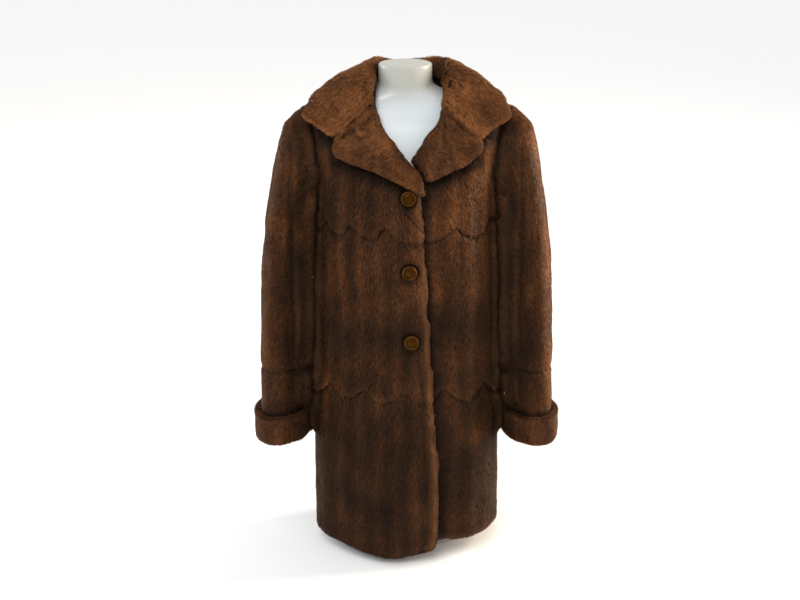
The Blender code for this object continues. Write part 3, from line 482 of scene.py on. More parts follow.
def settled(name, points):
    """The points with corners drawn out, the collar's nape lowered and the sleeves' heads leant in."""
    made = points.copy()
    if name in SLEEVES:
        made[:, 0] -= np.sign(points[:, 0]) * HEAD_LEAN * ease((points[:, 2] - HEAD_HEIGHT) / HEAD_FADE)
    for piece, place, radius, moved in PULLS:
        if piece == name:
            made[:, [0, 2]] += np.array(moved) * bell(from_line(points, place, place), radius)[:, None]
    if name == "collar":
        nape = bell(points[:, 0], NAPE_WIDTH) * ease((points[:, 1] - NAPE_Y) / NAPE_Y_FADE)
        made[:, 2] -= NAPE_DROP * nape * ease((points[:, 2] - NAPE_HEIGHT) / NAPE_FADE)
    return made


def furred(name):
    """The evened form with its relief, settled in place."""
    points, triangles = EVEN[name]
    normal = point_normals(points, triangles)
    stand = relief(name, points, triangles, normal) + meeting(name, points, triangles, normal)
    return settled(name, points + normal * stand[:, None]), triangles


class Forms:
    """Meshes by node, with the trees that rays are cast at."""

    def __init__(self, meshes):
        self.meshes = meshes
        self.all = self.tree(meshes)
        self.torso = self.tree(PANELS + SOLID_FORM)

    def tree(self, names):
        return joined_tree([self.meshes[name] for name in names])


CAD_FORMS = Forms(WELDED)
FUR_FORMS = Forms({**WELDED, **{name: furred(name) for name in CLOTH}})


def look_directions():
    """Directions spread over the half sphere round +Z."""
    i = np.arange(LOOKS)
    height = (i + 0.5) / LOOKS
    turn = i * math.pi * (3 - math.sqrt(5))
    flat = np.sqrt(1 - height**2)
    return np.stack([flat * np.cos(turn), flat * np.sin(turn), height], -1)


def openness(centre, normal):
    """The share of directions, those up and to the front most, in which a face sees past the coat,
    and the share in which something stands close in front of it."""
    side = unit(np.cross(normal, np.where(np.abs(normal[:, 2:]) < 0.9, [[0, 0, 1.0]], [[1.0, 0, 0]])))
    up = np.cross(normal, side)
    seen, close, whole = np.zeros((3, len(centre)))
    start = centre + normal * 0.001
    light_from = unit(LIGHT_FROM)
    for direction in look_directions():
        ray = side * direction[0] + up * direction[1] + normal * direction[2]
        worth = SKY_SHARE + np.clip(ray @ light_from, 0, 1)
        free = reach(FUR_FORMS.all, start, ray, LOOK_REACH)
        seen += worth * (free > LOOK_REACH - 0.01)
        close += worth * (1 - np.clip(free / CROWDED, 0, 1))
        whole += worth
    return seen / whole, close / whole


def facing_out(name, centre, normal):
    """1 where a face looks straight out from the middle of the coat or of its sleeve, -1 straight in."""
    middle = np.column_stack([np.tile(AXIS, (len(centre), 1)), centre[:, 2]])
    if name in SLEEVES:
        points = WELDED[name][0]
        if name.endswith("upper"):
            middle[:, 2] = np.minimum(middle[:, 2], points[:, 2].max() - SLEEVE_HEAD)
        for k in range(2):
            middle[:, k] = np.polyval(np.polyfit(points[:, 2], points[:, k], 2), middle[:, 2])
    return dot(unit(centre - middle), normal)[:, 0]


def outer_side(name, forms, centre, normal):
    """Which faces are on the fur's side of the wall, by the way they look."""
    start = centre + normal * 0.0003
    if name in SLEEVES:
        out = facing_out(name, centre, normal)
        return (out > 0.25) | ((out > 0) & (np.abs(normal[:, 2]) < 0.6))
    if name in PANELS:
        free = reach(forms.torso, start, normal, FAR)
        return (free > FAR_ENOUGH) | ((free > FREE_EDGE) & (facing_out(name, centre, normal) > INWARD))
    if name not in TRIM:
        return reach(forms.tree([name]), start, normal, FAR) > FAR_ENOUGH
    free = reach(forms.all, start, normal, TRIM_REACH) > TRIM_FREE
    if name != "collar":
        return free
    faces_neck = np.sum((AXIS - centre[:, :2]) * normal[:, :2], axis=1) > 0
    return free | (faces_neck & (centre[:, 2] > NAPE_HEIGHT) & (normal[:, 2] > -0.4))


class Wall:
    """A cloth node's wall: which of its faces bear fur, and how thick it is behind them."""

    def __init__(self, name, forms):
        self.name = name
        self.points, self.triangles = forms.meshes[name]
        a, b, c = (self.points[self.triangles[:, k]] for k in range(3))
        cross = np.cross(b - a, c - a)
        self.area = np.linalg.norm(cross, axis=1) / 2
        self.face_normal = unit(cross)
        self.centre = (a + b + c) / 3
        self.outer = outer_side(name, forms, self.centre, self.face_normal)
        self.normal = unit(self.spread(self.face_normal))
        inward = -self.face_normal[self.outer]
        thick = np.zeros(len(self.centre))
        thick[self.outer] = reach(
            forms.tree([name]), self.centre[self.outer] + inward * 1e-5, inward, MOST_WALL
        )
        self.depth = self.spread(thick[:, None])[:, 0].clip(LEAST_PELT, MOST_PELT)

    def spread(self, values):
        """The mean of the outer faces' values at each point."""
        share = (self.area * self.outer)[:, None]
        total, weight = (gathered(of, self.triangles, len(self.points)) for of in (values * share, share))
        return total / np.maximum(weight, 1e-12)

    def on(self, faces):
        """Which points the faces have."""
        found = np.zeros(len(self.points), bool)
        found[self.triangles[faces].ravel()] = True
        return found

    def borders(self):
        """Points where the outer face meets a seam's face that looks down, and one that looks up."""
        found = {}
        for side, sign in (("low", -1), ("high", 1)):
            caps = ~self.outer & (self.face_normal[:, 2] * sign > 0.5)
            found[side] = self.points[self.on(self.outer) & self.on(caps)]
        return found


class Pelt(Wall):
    """The wall as the fur grows on it, with what lies round it."""

    def __init__(self, name, borders):
        super().__init__(name, FUR_FORMS)
        self.borders = borders
        outer, furred_faces = self.outer, self.triangles[self.outer]
        seen, close = np.zeros((2, len(outer)))
        seen[outer], close[outer] = openness(self.centre[outer], self.face_normal[outer])
        self.light = self.spread(seen[:, None])[:, 0]
        self.shut = evened_out(self.spread(close[:, None]), furred_faces, NEAR_ROUNDS)[:, 0]
        # painted shade where a sleeve joins the body
        self.shut += JOIN_PAINTED_SHADE * (1 - hide_share(name, self.points))
        self.broad = unit(evened_out(self.normal, furred_faces, BROAD_ROUNDS))
        self.turned = np.clip(EDGE_GAIN * (1 - dot(self.normal, self.broad)[:, 0]), 0, 1)
        density = UNSEEN_DENSITY + np.clip(seen * 2, 0, 1) * (1 - UNSEEN_DENSITY)
        self.weight = self.area * outer * density


def from_border(wall, side, points):
    """How far each point lies from the wall's lower or upper seam, measured upright."""
    border = wall.borders[side]
    if len(border) < 4:
        return np.ones(len(points))
    angle = around(wall.name, border)
    order = np.argsort(angle)
    angle, height = angle[order], border[order, 2]
    angle = np.concatenate([angle - 2 * math.pi, angle, angle + 2 * math.pi])
    height = np.tile(height, 3)
    return np.abs(points[:, 2] - np.interp(around(wall.name, points), angle, height))


# ---- fur
def nap(wall, points, normal, broad, turned):
    """The way the hair lies: down, outwards over the shoulders, collar and lapels, and round edges."""
    away = np.zeros_like(points)
    away[:, :2] = unit(points[:, :2] - AXIS)
    pull = np.array([0.0, 0.0, -1.0]) + away * (NAP_OUT_COLLAR if wall.name == "collar" else NAP_OUT)
    if wall.name.startswith("lapel"):
        pull[:, 0] += -LAPEL_NAP if wall.name.endswith("right") else LAPEL_NAP
    pull = pull - broad * EDGE_NAP * turned[:, None]
    along = unit(pull - normal * dot(pull, normal))
    side = np.cross(normal, along)
    turn = waves(points, NAP_TURNS) * (2 if wall.name in TRIM else 1)
    return unit(along + side * turn[:, None])


def tone(wall, points, normal, light, shut):
    """How light the fur is, from about -1 to 1: pelt bands, streaks along the nap, soft patches and painted
    light and shade: lit sides, shaded folds and creases, shadows, glints, and where it is closed in."""
    name, front = wall.name, to_front(normal)
    made = PELT_LIGHT * pelts(name, points) + waves(points, PATCHES)
    if name in PANELS:
        upper = ease((points[:, 2] - SIDE_FOOT) / SIDE_FADE)
        made += np.interp(points[:, 2], *BODY_LIGHT)
        # painted light on the body's left side and painted shade on its right
        made += SIDE_PAINTED_LIGHT * upper * np.clip((points[:, 0] - SIDE_MIDDLE) / SIDE_WIDTH, -1, 1)
        made -= front * strokes(points, SHADOWS)
    elif name in SLEEVES:
        off = np.abs(points[:, 0] - AXIS[0]) - FOLD_X
        fold = fold_share(points, FOLD_X, PAINTED_SHADE_WIDTH * FOLD_WIDTH)
        made += np.interp(points[:, 2], *SLEEVE_LIGHT)
        # painted shade in the sleeve's fold and on the sleeve inside it
        made -= front * (FOLD_PAINTED_SHADE * fold + INNER_PAINTED_SHADE * ease(-off / INNER_FADE))
        # painted light on the sleeve outside its fold
        made += OUTER_PAINTED_LIGHT[name.split("_")[1]] * ease((off - OUTER_PLACE) / OUTER_FADE)
    else:
        # painted light and shade on the relief of collar and lapels; patches at random on the cuffs
        made += TRIM_LIGHT.get(name, CUFF_LIGHT) + TRIM_PATCH_AND_RELIEF_LIGHT * noise(points, TRIM_CELL, SEED + 11)
    if name in TRIM:
        swirl = np.clip(0.7 + 1.1 * noise(points, SWIRL_CELL, SEED + 16), 0, 1.6)
        made += front * swirl * spots(points, GLINTS)
        # painted shade in the creases
        made -= CREASE_PAINTED_SHADE * front * strokes(points, CREASES, PAINTED_SHADE_WIDTH)
    made -= CLOSED_DARK * (1 - np.clip(light * OPEN_GAIN, 0, 1)) ** CLOSED_POWER
    # painted shade where something stands close in front of the fur
    return made - SHUT_PAINTED_SHADE * np.clip(shut - SHUT_FROM, 0, 1)


def parted(wall, points):
    """How much the fur is parted, 0 to 1, along a few dark lines."""
    share = np.zeros(len(points))
    if wall.name.startswith("front_right"):
        for start, end in PARTINGS:
            share = np.maximum(share, 1 - ease(from_line(points, start, end) / PARTING_WIDTH))
    return share


def fur_samples(wall, count, rng):
    """Places on the outer face, denser where it is seen, with what the wall knows there."""
    pick = wall.triangles[np.sort(rng.choice(len(wall.area), count, p=wall.weight / wall.weight.sum()))]
    r, s = np.sqrt(rng.random(count)), rng.random(count)
    mix = np.stack([1 - r, r * (1 - s), r * s], -1)[..., None]
    points = np.sum(wall.points[pick] * mix, axis=1)
    normal = unit(np.sum(wall.normal[pick] * mix, axis=1))
    broad = unit(np.sum(wall.broad[pick] * mix, axis=1))
    facts = (wall.depth, wall.light, wall.turned, wall.shut)
    return points, normal, broad, *(np.sum(fact[pick] * mix[..., 0], axis=1) for fact in facts)


def button_axes():
    """Centre and outward axis of each button's node."""
    found = []
    for name in BUTTONS:
        points = WELDED[name][0]
        centre = points.mean(axis=0)
        axis = np.linalg.svd(points - centre)[2][2]
        found.append((centre, axis * (-1 if axis[1] > 0 else 1)))
    return found


BUTTON_AXES = button_axes()


def from_buttons(points):
    """How far each point lies from the nearest button's axis, by its front."""
    near = np.ones(len(points))
    for centre, axis in BUTTON_AXES:
        off = points - centre
        depth = dot(off, axis)
        away = np.linalg.norm(off - axis * depth, axis=1)
        near = np.minimum(near, np.where(np.abs(depth[:, 0]) < 0.03, away, 1.0))
    return near


def by_seams(wall, points):
    """Where the fur thickens over a seam, where it starts low under one, and where one is near, 0 to 1."""
    seamed = wall.name in PANELS + SLEEVES
    low, high = from_border(wall, "low", points), from_border(wall, "high", points)
    ledge = (1 - ease(low / LEDGE)) * seamed
    tuck = (1 - ease(high / TUCK)) * (seamed and not wall.name.endswith("upper"))
    return ledge, tuck, (1 - ease((np.minimum(low, high) - SEAM_STRIP) / SEAM_FADE)) * seamed


def rim_light_share(wall, points, normal, light, turned, ledge):
    """How much painted rim light the fur has: on edges that look up to the light, on ledges and on the
    roll.
    """
    lit = ease(0.65 + normal[:, 2]) * np.clip(light * 2.2, 0, 1)
    patchy = ROLL_HIGHLIGHT + ROLL_HIGHLIGHT_PATCH * noise(points, 0.03, SEED + 13)
    edge = (TRIM_RIM_LIGHT if wall.name in TRIM + CUFFS else EDGE_RIM_LIGHT) * turned * lit
    return edge + LEDGE_RIM_LIGHT * ledge + patchy * roll_share(wall.name, points) ** 2


def grow(wall, count):
    """Blades of fur on a wall: root, the two sides of the middle, and tip."""
    rng = np.random.default_rng(SEED + sum(map(ord, wall.name)))
    samples = fur_samples(wall, count, rng)
    near = from_buttons(samples[0])
    keep = near > BUTTON_RADIUS * BUTTON_CLEAR
    points, normal, broad, depth, light, turned, shut = (of[keep] for of in samples)
    count = len(points)
    from_ring = near[keep] - BUTTON_RADIUS * BARE_RING
    bare = np.maximum(parted(wall, points), 1 - ease(from_ring / BARE_FADE))
    ledge, tuck, by_seam = by_seams(wall, points)
    turned = turned * (1 - by_seam)
    normal = unit(normal * (1 - by_seam)[:, None] + broad * by_seam[:, None])
    along = nap(wall, points, normal, broad, turned)
    side = np.cross(normal, along)
    lift = waves(points, LIFT_WAVES) + rng.normal(0, LIFT_SPREAD, count)
    lift += LEDGE_RISE * ledge - TUCK_DEPTH * tuck - BARE_DEPTH * depth * bare
    lay = HAIR_LAY * (THIN_LAY + (1 - THIN_LAY) * np.clip(depth / PELT, 0, 1))
    lay *= rng.uniform(*LAY_SPREAD, count) * (1 - BARE_SHORT * bare) * (1 - EDGE_SHORT * turned)
    clump = np.stack([noise(points, CLUMP_CELL, SEED + 8 + k) for k in range(2)], -1) * CLUMP
    reach_along = unit(along + side * rng.normal(0, HAIR_FAN, count)[:, None]) * lay[:, None]
    root = points - reach_along * ROOT_BACK - normal * (ROOT_DEPTH * depth)[:, None]
    middle = points - reach_along * MIDDLE_BACK + normal * (lift - MIDDLE_DEPTH * depth)[:, None]
    tip = points + reach_along * TIP_AHEAD + normal * (lift - TIP_TUCK * turned)[:, None]
    tip += along * clump[:, :1] + side * clump[:, 1:]
    twist = rng.normal(0, HAIR_TWIST, count)[:, None]
    across = unit(side * np.cos(twist) + normal * np.sin(twist))
    across *= (HAIR_WIDTH / 2 * rng.uniform(*WIDTH_SPREAD, count))[:, None]
    blades = np.stack([root, middle - across, middle + across, tip], axis=1)
    # painted shade on bare fur
    shade = tone(wall, points, normal, light, shut * (1 - SEAM_OPEN * by_seam)) - BARE_PAINTED_SHADE * bare
    rim = rim_light_share(wall, points, normal, light, turned, ledge)
    normals = blade_normals(root, middle, tip, normal, side, rng)
    return blades, normals, fur_values(np.clip(shade, -1, 1), rim, tuck, rng)


def blade_normals(root, middle, tip, normal, side, rng):
    """Shading normals: square to the blade where it stands at that point, tilted a little at random."""
    tilt = rng.normal(0, HAIR_TILT, len(root))[:, None] * side
    made = []
    whole = (root, tip, 0.6)
    for start, end, share in ((root, middle, 0.45), whole, whole, (middle, tip, 0.75)):
        direction = unit(end - start)
        square = unit(normal - direction * dot(direction, normal))
        made.append(unit(square * share + normal * 0.5 + tilt))
    return np.stack(made, axis=1)


def fur_values(shade, rim, tuck, rng):
    """Colour values at each blade's four points: how near the tip, how light, its own chance, the painted
    rim light.
    """
    values = np.zeros((len(shade), 4, 4))
    values[:, :, 0] = (0.0, 0.62, 0.62, 1.0)
    # painted shade in the strip under a scalloped seam
    values[:, :, 1] = np.clip(0.5 + 0.5 * (shade - TUCK_PAINTED_SHADE * tuck), 0, 1)[:, None]
    values[:, :, 2] = rng.random(len(shade))[:, None]
    values[:, :, 3] = np.clip(rim, 0, 1)[:, None]
    return values


def blade_mesh(name, blades, normals, values):
    """One mesh of all the blades. Each has a cell of its own in the map for the bake."""
    count = len(blades)
    mesh = bpy.data.meshes.new(name)
    mesh.vertices.add(count * 4)
    mesh.vertices.foreach_set("co", blades.astype(np.float32).ravel())
    corners = (np.arange(count)[:, None] * 4 + (0, 1, 2, 1, 3, 2)).ravel().astype(np.int32)
    mesh.loops.add(count * 6)
    mesh.loops.foreach_set("vertex_index", corners)
    mesh.polygons.add(count * 2)
    mesh.polygons.foreach_set("loop_start", np.arange(0, count * 6, 3, dtype=np.int32))
    mesh.polygons.foreach_set("use_smooth", np.ones(count * 2, bool))
    mesh.update(calc_edges=True)
    mesh.attributes.new("fur", "FLOAT_COLOR", "POINT")
    mesh.attributes["fur"].data.foreach_set("color", values.astype(np.float32).ravel())
    across = math.ceil(math.sqrt(count))
    cell = np.stack([np.arange(count) % across, np.arange(count) // across], -1)
    in_cell = ((0.5, 0.05), (0.1, 0.55), (0.9, 0.55), (0.5, 0.95))
    at = ((cell[:, None] + in_cell) / across).reshape(-1, 2)[corners]
    uv = mesh.uv_layers.new(name="OFBake")
    uv.data.foreach_set("uv", at.astype(np.float32).ravel())
    mesh.normals_split_custom_set_from_vertices(normals.reshape(-1, 3).astype(np.float32))
    return mesh


# ---- materials
FUR_RAMP = (
    (0.0, (0.004, 0.002, 0.0012)),
    (0.25, (0.0165, 0.0076, 0.0038)),
    (0.5, (0.05, 0.0194, 0.0078)),
    (0.75, (0.144, 0.051, 0.017)),
    (1.0, (0.32, 0.12, 0.038)),
)
# colour of the painted rim light and of the painted highlight on the rolled edge
RIM_LIGHT_COLOUR = (0.31, 0.132, 0.05, 1.0)
# a dark grey-brown, mixed in at random patches
GREY_PATCH_COLOUR = (0.036, 0.022, 0.017, 1.0)
GREY_PATCH_SHARE, RIM_LIGHT_SHARE = 0.34, 0.7
STREAKS, CHANCE = 0.42, 0.34  # how much streaks and each hair's chance change how light it is
DOWN_SHADE = (  # painted shade deep in the pile: what the colour is multiplied by, from root to tip
    (0.0, (0.66, 0.62, 0.6)),
    (0.55, (0.88, 0.87, 0.86)),
    (1.0, (1.0, 1.0, 1.0)),
)
UNDERFUR = ((0.25, (0.01, 0.0045, 0.002)), (0.8, (0.03, 0.012, 0.0045)))
SATIN = ((0.3, (0.055, 0.024, 0.012)), (0.7, (0.105, 0.048, 0.024)))
SATIN_THREADS = ((0.3, (0.03, 0.015, 0.01)), (0.7, (0.16, 0.08, 0.04)))
FORM_WHITE_NECK_SHADE = ((0.0, (0.66, 0.72, 0.74)), (1.0, (0.4, 0.4, 0.34)))  # chest, and the neck in painted shade
FORM_CLOUD = ((0.3, (0.6, 0.62, 0.62)), (0.7, (0.74, 0.76, 0.75)))
NECK_SHADE_FOOT = 0.925  # the form is whiter below this height; above it, the neck is painted in shade
STEEL = ((0.3, (0.42, 0.42, 0.43)), (0.7, (0.62, 0.62, 0.63)))
BUTTON_CENTRE = ((0.32, (0.02, 0.0062, 0.0005)), (0.68, (0.05, 0.016, 0.001)))
BUTTON_RIM = ((0.32, (0.032, 0.012, 0.0015)), (0.68, (0.08, 0.032, 0.005)))


class Nodes:
    """A material's node tree, built a node at a time."""

    def __init__(self, name):
        self.made = bpy.data.materials.new(name)
        self.made.use_nodes = True
        self.tree = self.made.node_tree
        self.shader = self.tree.nodes["Principled BSDF"]

    def add(self, kind, inputs=(), **settings):
        node = self.tree.nodes.new(f"ShaderNode{kind}")
        for key, value in settings.items():
            setattr(node, key, value)
        for key, value in dict(inputs).items():
            self.set(node, key, value)
        return node

    def set(self, node, key, value):
        if isinstance(value, bpy.types.NodeSocket):
            self.tree.links.new(value, node.inputs[key])
        else:
            node.inputs[key].default_value = value

    def math(self, operation, a, b=0.0, clamp=False):
        return self.add("Math", {0: a, 1: b}, operation=operation, use_clamp=clamp).outputs[0]

    def ramp(self, value, stops):
        node = self.add("ValToRGB", {0: value})
        elements = node.color_ramp.elements
        while len(elements) < len(stops):
            elements.new(0.5)
        for element, (place, colour) in zip(elements, stops):
            element.position = place
            element.color = (*colour, 1.0)
        return node.outputs["Color"]

    def mix(self, share, a, b, blend="MIX"):
        node = self.add("Mix", data_type="RGBA", blend_type=blend)
        self.set(node, 0, share)
        self.set(node, 6, a)
        self.set(node, 7, b)
        return node.outputs[2]

    def place(self, scale=(1, 1, 1)):
        where = self.add("TexCoord").outputs["Object"]
        return self.add("Mapping", {"Vector": where, "Scale": scale}).outputs["Vector"]

    def noise(self, scale, detail=3.0, stretch=(1, 1, 1)):
        node = self.add("TexNoise", {"Vector": self.place(stretch), "Scale": scale, "Detail": detail})
        return node.outputs["Fac"]

    def bump(self, height, distance, strength=1.0):
        node = self.add("Bump", {"Height": height, "Distance": distance, "Strength": strength})
        return node.outputs["Normal"]

    def finish(self, **inputs):
        for key, value in inputs.items():
            self.set(self.shader, key.replace("_", " "), value)
        return self.made


def greys(low, high):
    """Stops from one grey to another, for a roughness."""
    return (0.3, (low,) * 3), (0.7, (high,) * 3)


def fur_material(name, lighter=0.0):
    n = Nodes(name)
    facts = n.add("Attribute", attribute_name="fur")
    split = n.add("SeparateColor", {0: facts.outputs["Color"]})
    tip, light, chance = (split.outputs[k] for k in range(3))
    # the painted rim light, from the attribute's alpha
    rim = facts.outputs["Alpha"]
    streak = n.noise(520.0, 2.0, (1.0, 1.0, 0.35))
    value = light
    for varied, share in ((streak, STREAKS), (chance, CHANCE)):
        value = n.math("ADD", value, n.math("MULTIPLY", n.math("SUBTRACT", varied, 0.5), share))
    colour = n.ramp(n.math("ADD", value, lighter, clamp=True), FUR_RAMP)
    grey_patches = n.math("MULTIPLY", n.noise(16.0, 2.0, (1.0, 1.0, 0.5)), GREY_PATCH_SHARE)
    colour = n.mix(grey_patches, colour, GREY_PATCH_COLOUR)
    colour = n.mix(n.math("MULTIPLY", rim, RIM_LIGHT_SHARE), colour, RIM_LIGHT_COLOUR)
    # painted shade towards the roots
    colour = n.mix(1.0, colour, n.ramp(tip, DOWN_SHADE), "MULTIPLY")
    return n.finish(
        Base_Color=colour,
        Roughness=0.5,
        Specular_IOR_Level=0.1,
        Specular_Tint=(1.0, 0.72, 0.5, 1.0),
        Sheen_Weight=0.14,
        Sheen_Roughness=0.4,
        Sheen_Tint=(1.0, 0.5, 0.22, 1.0),
    )


def skin_material():
    n = Nodes("underfur")
    wool = n.noise(900.0, 4.0, (1.0, 1.0, 0.25))
    return n.finish(
        Base_Color=n.ramp(wool, UNDERFUR), Roughness=0.9, Specular_IOR_Level=0.1, Normal=n.bump(wool, 0.002)
    )


def lining_material():
    n = Nodes("satin_lining")
    threads = n.noise(2600.0, 2.0, (1.0, 1.0, 0.05))
    folds = n.noise(22.0, 2.0, (1.0, 1.0, 0.1))
    colour = n.mix(0.25, n.ramp(folds, SATIN), n.ramp(threads, SATIN_THREADS))
    height = n.math("ADD", n.math("MULTIPLY", folds, 0.9), n.math("MULTIPLY", threads, 0.05))
    return n.finish(Base_Color=colour, Roughness=0.36, Sheen_Weight=0.1, Normal=n.bump(height, 0.006, 0.7))


def form_material():
    n = Nodes("form_gloss_white")
    cloud = n.noise(9.0, 3.0)
    grain = n.noise(700.0, 3.0)
    height = n.add("SeparateXYZ", {0: n.add("TexCoord").outputs["Object"]}).outputs["Z"]
    # painted shade on the neck
    rise = n.math("MULTIPLY", n.math("SUBTRACT", height, NECK_SHADE_FOOT), 30.0, clamp=True)
    colour = n.mix(0.25, n.ramp(rise, FORM_WHITE_NECK_SHADE), n.ramp(cloud, FORM_CLOUD))
    uneven = n.math("ADD", n.math("MULTIPLY", cloud, 0.6), n.math("MULTIPLY", grain, 0.02))
    return n.finish(
        Base_Color=colour,
        Roughness=n.ramp(grain, greys(0.26, 0.36)),
        Coat_Weight=0.25,
        Coat_Roughness=0.15,
        Normal=n.bump(uneven, 0.001, 0.4),
    )


def steel_material():
    n = Nodes("stand_brushed_steel")
    brush = n.noise(60.0, 4.0, (1.0, 30.0, 30.0))
    return n.finish(
        Base_Color=n.ramp(brush, STEEL),
        Metallic=1.0,
        Roughness=n.ramp(brush, greys(0.24, 0.38)),
        Normal=n.bump(brush, 0.0002, 0.5),
    )


def button_material(name, stops):
    n = Nodes(name)
    grain = n.add("TexVoronoi", {"Vector": n.place(), "Scale": 2600.0}, feature="DISTANCE_TO_EDGE")
    cells = n.math("MULTIPLY", grain.outputs["Distance"], 1.6, clamp=True)
    wear = n.noise(160.0, 4.0)
    return n.finish(
        Base_Color=n.ramp(wear, stops),
        Roughness=n.ramp(wear, greys(0.24, 0.38)),
        Specular_IOR_Level=0.2,
        Specular_Tint=(1.0, 0.5, 0.14, 1.0),
        Normal=n.bump(cells, 0.00003, 0.4),
    )


# ---- pieces
def add_piece(name, mesh, materials):
    piece = linked(name, mesh)
    for made in materials:
        mesh.materials.append(made)
    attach(piece, "root")
    return piece


def skin_mesh(wall):
    """The wall with its outer face moved in to where the hide is. Its inner faces are the lining."""
    inward = wall.depth * SKIN_DEPTH * hide_share(wall.name, wall.points) * wall.on(wall.outer)
    points = settled(wall.name, wall.points - wall.normal * inward[:, None])
    mesh = plain_mesh(f"{wall.name}_skin", points, wall.triangles)
    lined = ~wall.outer & (wall.name in PANELS + SLEEVES)
    lined &= facing_out(wall.name, wall.centre, wall.face_normal) < INWARD
    if wall.name.startswith("front_right"):
        lined &= from_front_edge(wall.centre) > FACING
    mesh.polygons.foreach_set("material_index", lined.astype(np.int32))
    mesh.shade_smooth()
    mesh.set_sharp_from_angle(angle=math.radians(50))
    return mesh


def cut_size(wall, mesh):
    """Width and length of the piece's cut, and its area, from the hide's outer face."""
    areas = np.empty(len(mesh.polygons))
    mesh.polygons.foreach_get("area", areas)
    area = float(areas[wall.outer].sum())
    low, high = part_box(wall.name)
    length = RUN.get(wall.name, high[2] - low[2])
    return (CUT_SPARE * area / length, length), area


def build_cloth(skin, lining, furs):
    """The hide and the fur of each cloth node, with the blades shared out by what is seen."""
    walls = [Wall(name, CAD_FORMS) for name in CLOTH]
    furred_walls = [Pelt(wall.name, wall.borders()) for wall in walls]
    shown = np.array([pelt.weight.sum() for pelt in furred_walls])
    wanted = shown / shown.sum() * BLADES
    for wall, pelt, count in zip(walls, furred_walls, wanted):
        trim = wall.name in TRIM + CUFFS
        mesh = skin_mesh(wall)
        flat, area = cut_size(wall, mesh)
        hide = add_piece(f"{wall.name}_skin", mesh, [skin, lining])
        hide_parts(wall.name)
        count = min(int(count * (TRIM_DENSITY if trim else 1.0)), MOST_BLADES)
        mesh = blade_mesh(f"{wall.name}_fur", *grow(pelt, count))
        fur = add_piece(f"{wall.name}_fur", mesh, [furs[trim]])


def build_form(white):
    """The form's torso with its faces joined up to quads and rounded off."""
    points, triangles = WELDED["form_torso"]
    mesh_bm = bmesh.new()
    verts = [mesh_bm.verts.new(p) for p in points]
    for triangle in triangles:
        mesh_bm.faces.new([verts[i] for i in triangle])
    bmesh.ops.join_triangles(
        mesh_bm, faces=mesh_bm.faces, angle_face_threshold=0.7, angle_shape_threshold=1.0
    )
    mesh = to_mesh("form_body", mesh_bm)
    mesh.shade_smooth()
    body = add_piece("form_body", mesh, [white])
    rounded = body.modifiers.new("rounded", "SUBSURF")
    rounded.levels = rounded.render_levels = 2
    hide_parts("form_torso")


BUTTON_PROFILE = (  # radius, height in mm, from the dome's middle round the rim to the underside
    (0.0, 6.9), (3.0, 6.8), (6.0, 6.3), (8.2, 5.5), (9.4, 4.9), (10.0, 4.75),
    (10.5, 5.1), (11.1, 6.6), (11.8, 7.9), (12.6, 8.4), (13.4, 8.1), (14.1, 7.1),
    (14.4, 5.8), (14.2, 4.2), (13.4, 2.2), (11.5, 0.6), (9.0, 0.0), (0.0, 0.0),
)
BUTTON_STEPS = 72
DOME_ROWS = 6  # rows of the middle's leather; the rest have the rim's


def button_mesh(name):
    """A covered button: a rolled rim, a groove and a shallow dome."""
    mesh_bm = bmesh.new()
    rings = []
    for radius, height in BUTTON_PROFILE:
        turns = [2 * math.pi * i / BUTTON_STEPS for i in range(BUTTON_STEPS if radius else 1)]
        ring = ((radius * math.cos(turn), radius * math.sin(turn), height) for turn in turns)
        rings.append([mesh_bm.verts.new([size / 1000 for size in place]) for place in ring])
    for row, (upper, lower) in enumerate(zip(rings, rings[1:])):
        for i in range(BUTTON_STEPS):
            sides = ((upper, i), (lower, i), (lower, i + 1), (upper, i + 1))
            corners = [ring[k % len(ring)] for ring, k in sides]
            face = mesh_bm.faces.new(list(dict.fromkeys(corners)))
            face.smooth = True
            face.material_index = 0 if row < DOME_ROWS else 1
    return to_mesh(name, mesh_bm)


def build_buttons():
    """Each button's node dressed, seated where the node's own underside is."""
    leathers = [button_material("button_olive", BUTTON_CENTRE), button_material("button_rim", BUTTON_RIM)]
    for name, (centre, axis) in zip(BUTTONS, BUTTON_AXES):
        button = add_piece(f"{name}_cover", button_mesh(f"{name}_cover"), leathers)
        along = (WELDED[name][0] - centre) @ axis
        turn = Vector(axis).to_track_quat("Z", "Y").to_matrix().to_4x4()
        turn.translation = Vector(centre + axis * along.min())
        button.data.transform(turn)
        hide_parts(name)


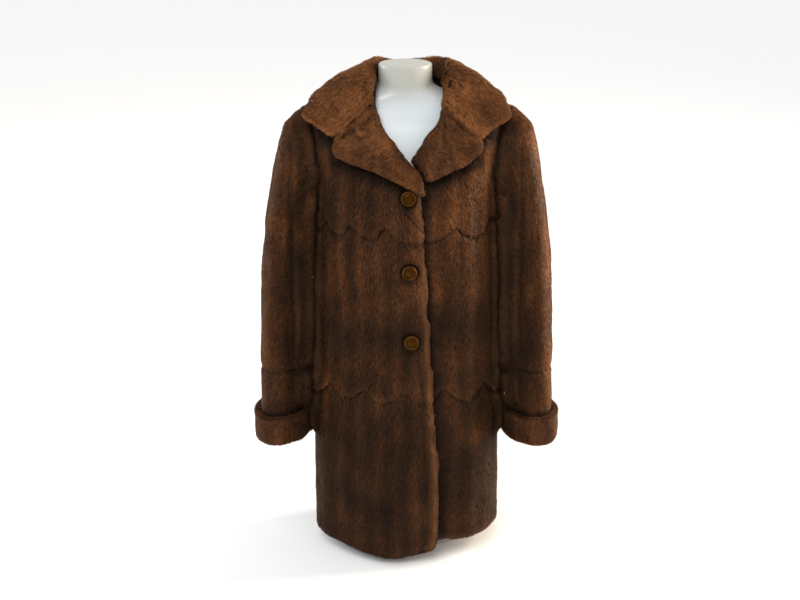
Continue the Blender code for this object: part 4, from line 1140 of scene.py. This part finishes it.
# ---- stage
LIGHT_TARGET = (0.0, 0.0, 0.55)
CAMERA_PLACE = (-0.01, -2.9, 1.484)
CAMERA_DIP = 18.45  # degrees that the camera looks down
CAMERA_LENS = 68.04  # mm, on a frame 36 mm wide


def build_stage():
    """A plain pale floor under an even sky."""
    floor_bm = bmesh.new()
    bmesh.ops.create_grid(floor_bm, x_segments=8, y_segments=8, size=60.0)
    mesh = to_mesh("floor", floor_bm)
    mesh.materials.append(Nodes("floor_pale").finish(Base_Color=(0.96, 0.96, 0.96, 1.0), Roughness=0.9))
    floor = linked("floor", mesh)
    world = bpy.data.worlds.new("studio")
    bpy.context.scene.world = world
    world.use_nodes = True
    back = world.node_tree.nodes["Background"]
    back.inputs["Color"].default_value = (1.0, 1.0, 1.0, 1.0)
    back.inputs["Strength"].default_value = 0.62


def add_light(name, place, size, watts, colour=(1.0, 1.0, 1.0)):
    """An area light that looks at the coat."""
    light = bpy.data.lights.new(name, "AREA")
    light.shape = "RECTANGLE"
    light.size, light.size_y = size
    light.energy = watts
    light.color = colour
    made = linked(name, light)
    made.location = place
    made.rotation_euler = (Vector(LIGHT_TARGET) - Vector(place)).to_track_quat("-Z", "Y").to_euler()


def build_lights_and_camera():
    """A soft key from the front, a light from behind at each side, and the photo's view."""
    add_light("right_rim", (-3.0, 1.0, 1.5), (1.0, 2.4), 40)
    add_light("left_rim", (3.0, 0.8, 1.5), (1.0, 2.4), 175, (1.0, 0.84, 0.66))
    key = bpy.data.lights.new("key", "SUN")
    key.energy = 1.5
    key.angle = math.radians(35)
    linked("key", key).rotation_euler = (math.radians(42), 0.0, math.radians(-18))
    lens = bpy.data.cameras.new("camera")
    lens.lens = CAMERA_LENS
    camera = linked("camera", lens)
    camera.location = CAMERA_PLACE
    camera.rotation_euler = (math.radians(90 - CAMERA_DIP), 0.0, 0.0)
    bpy.context.scene.camera = camera
    bpy.context.scene.view_settings.view_transform = "Standard"


build_form(form_material())
build_buttons()
build_cloth(skin_material(), lining_material(), (fur_material("mink"), fur_material("mink_trim", 0.04)))
steel = steel_material()
for stand_node in ("form_pole", "form_base"):
    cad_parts[stand_node].data.materials[0] = steel
build_stage()
build_lights_and_camera()
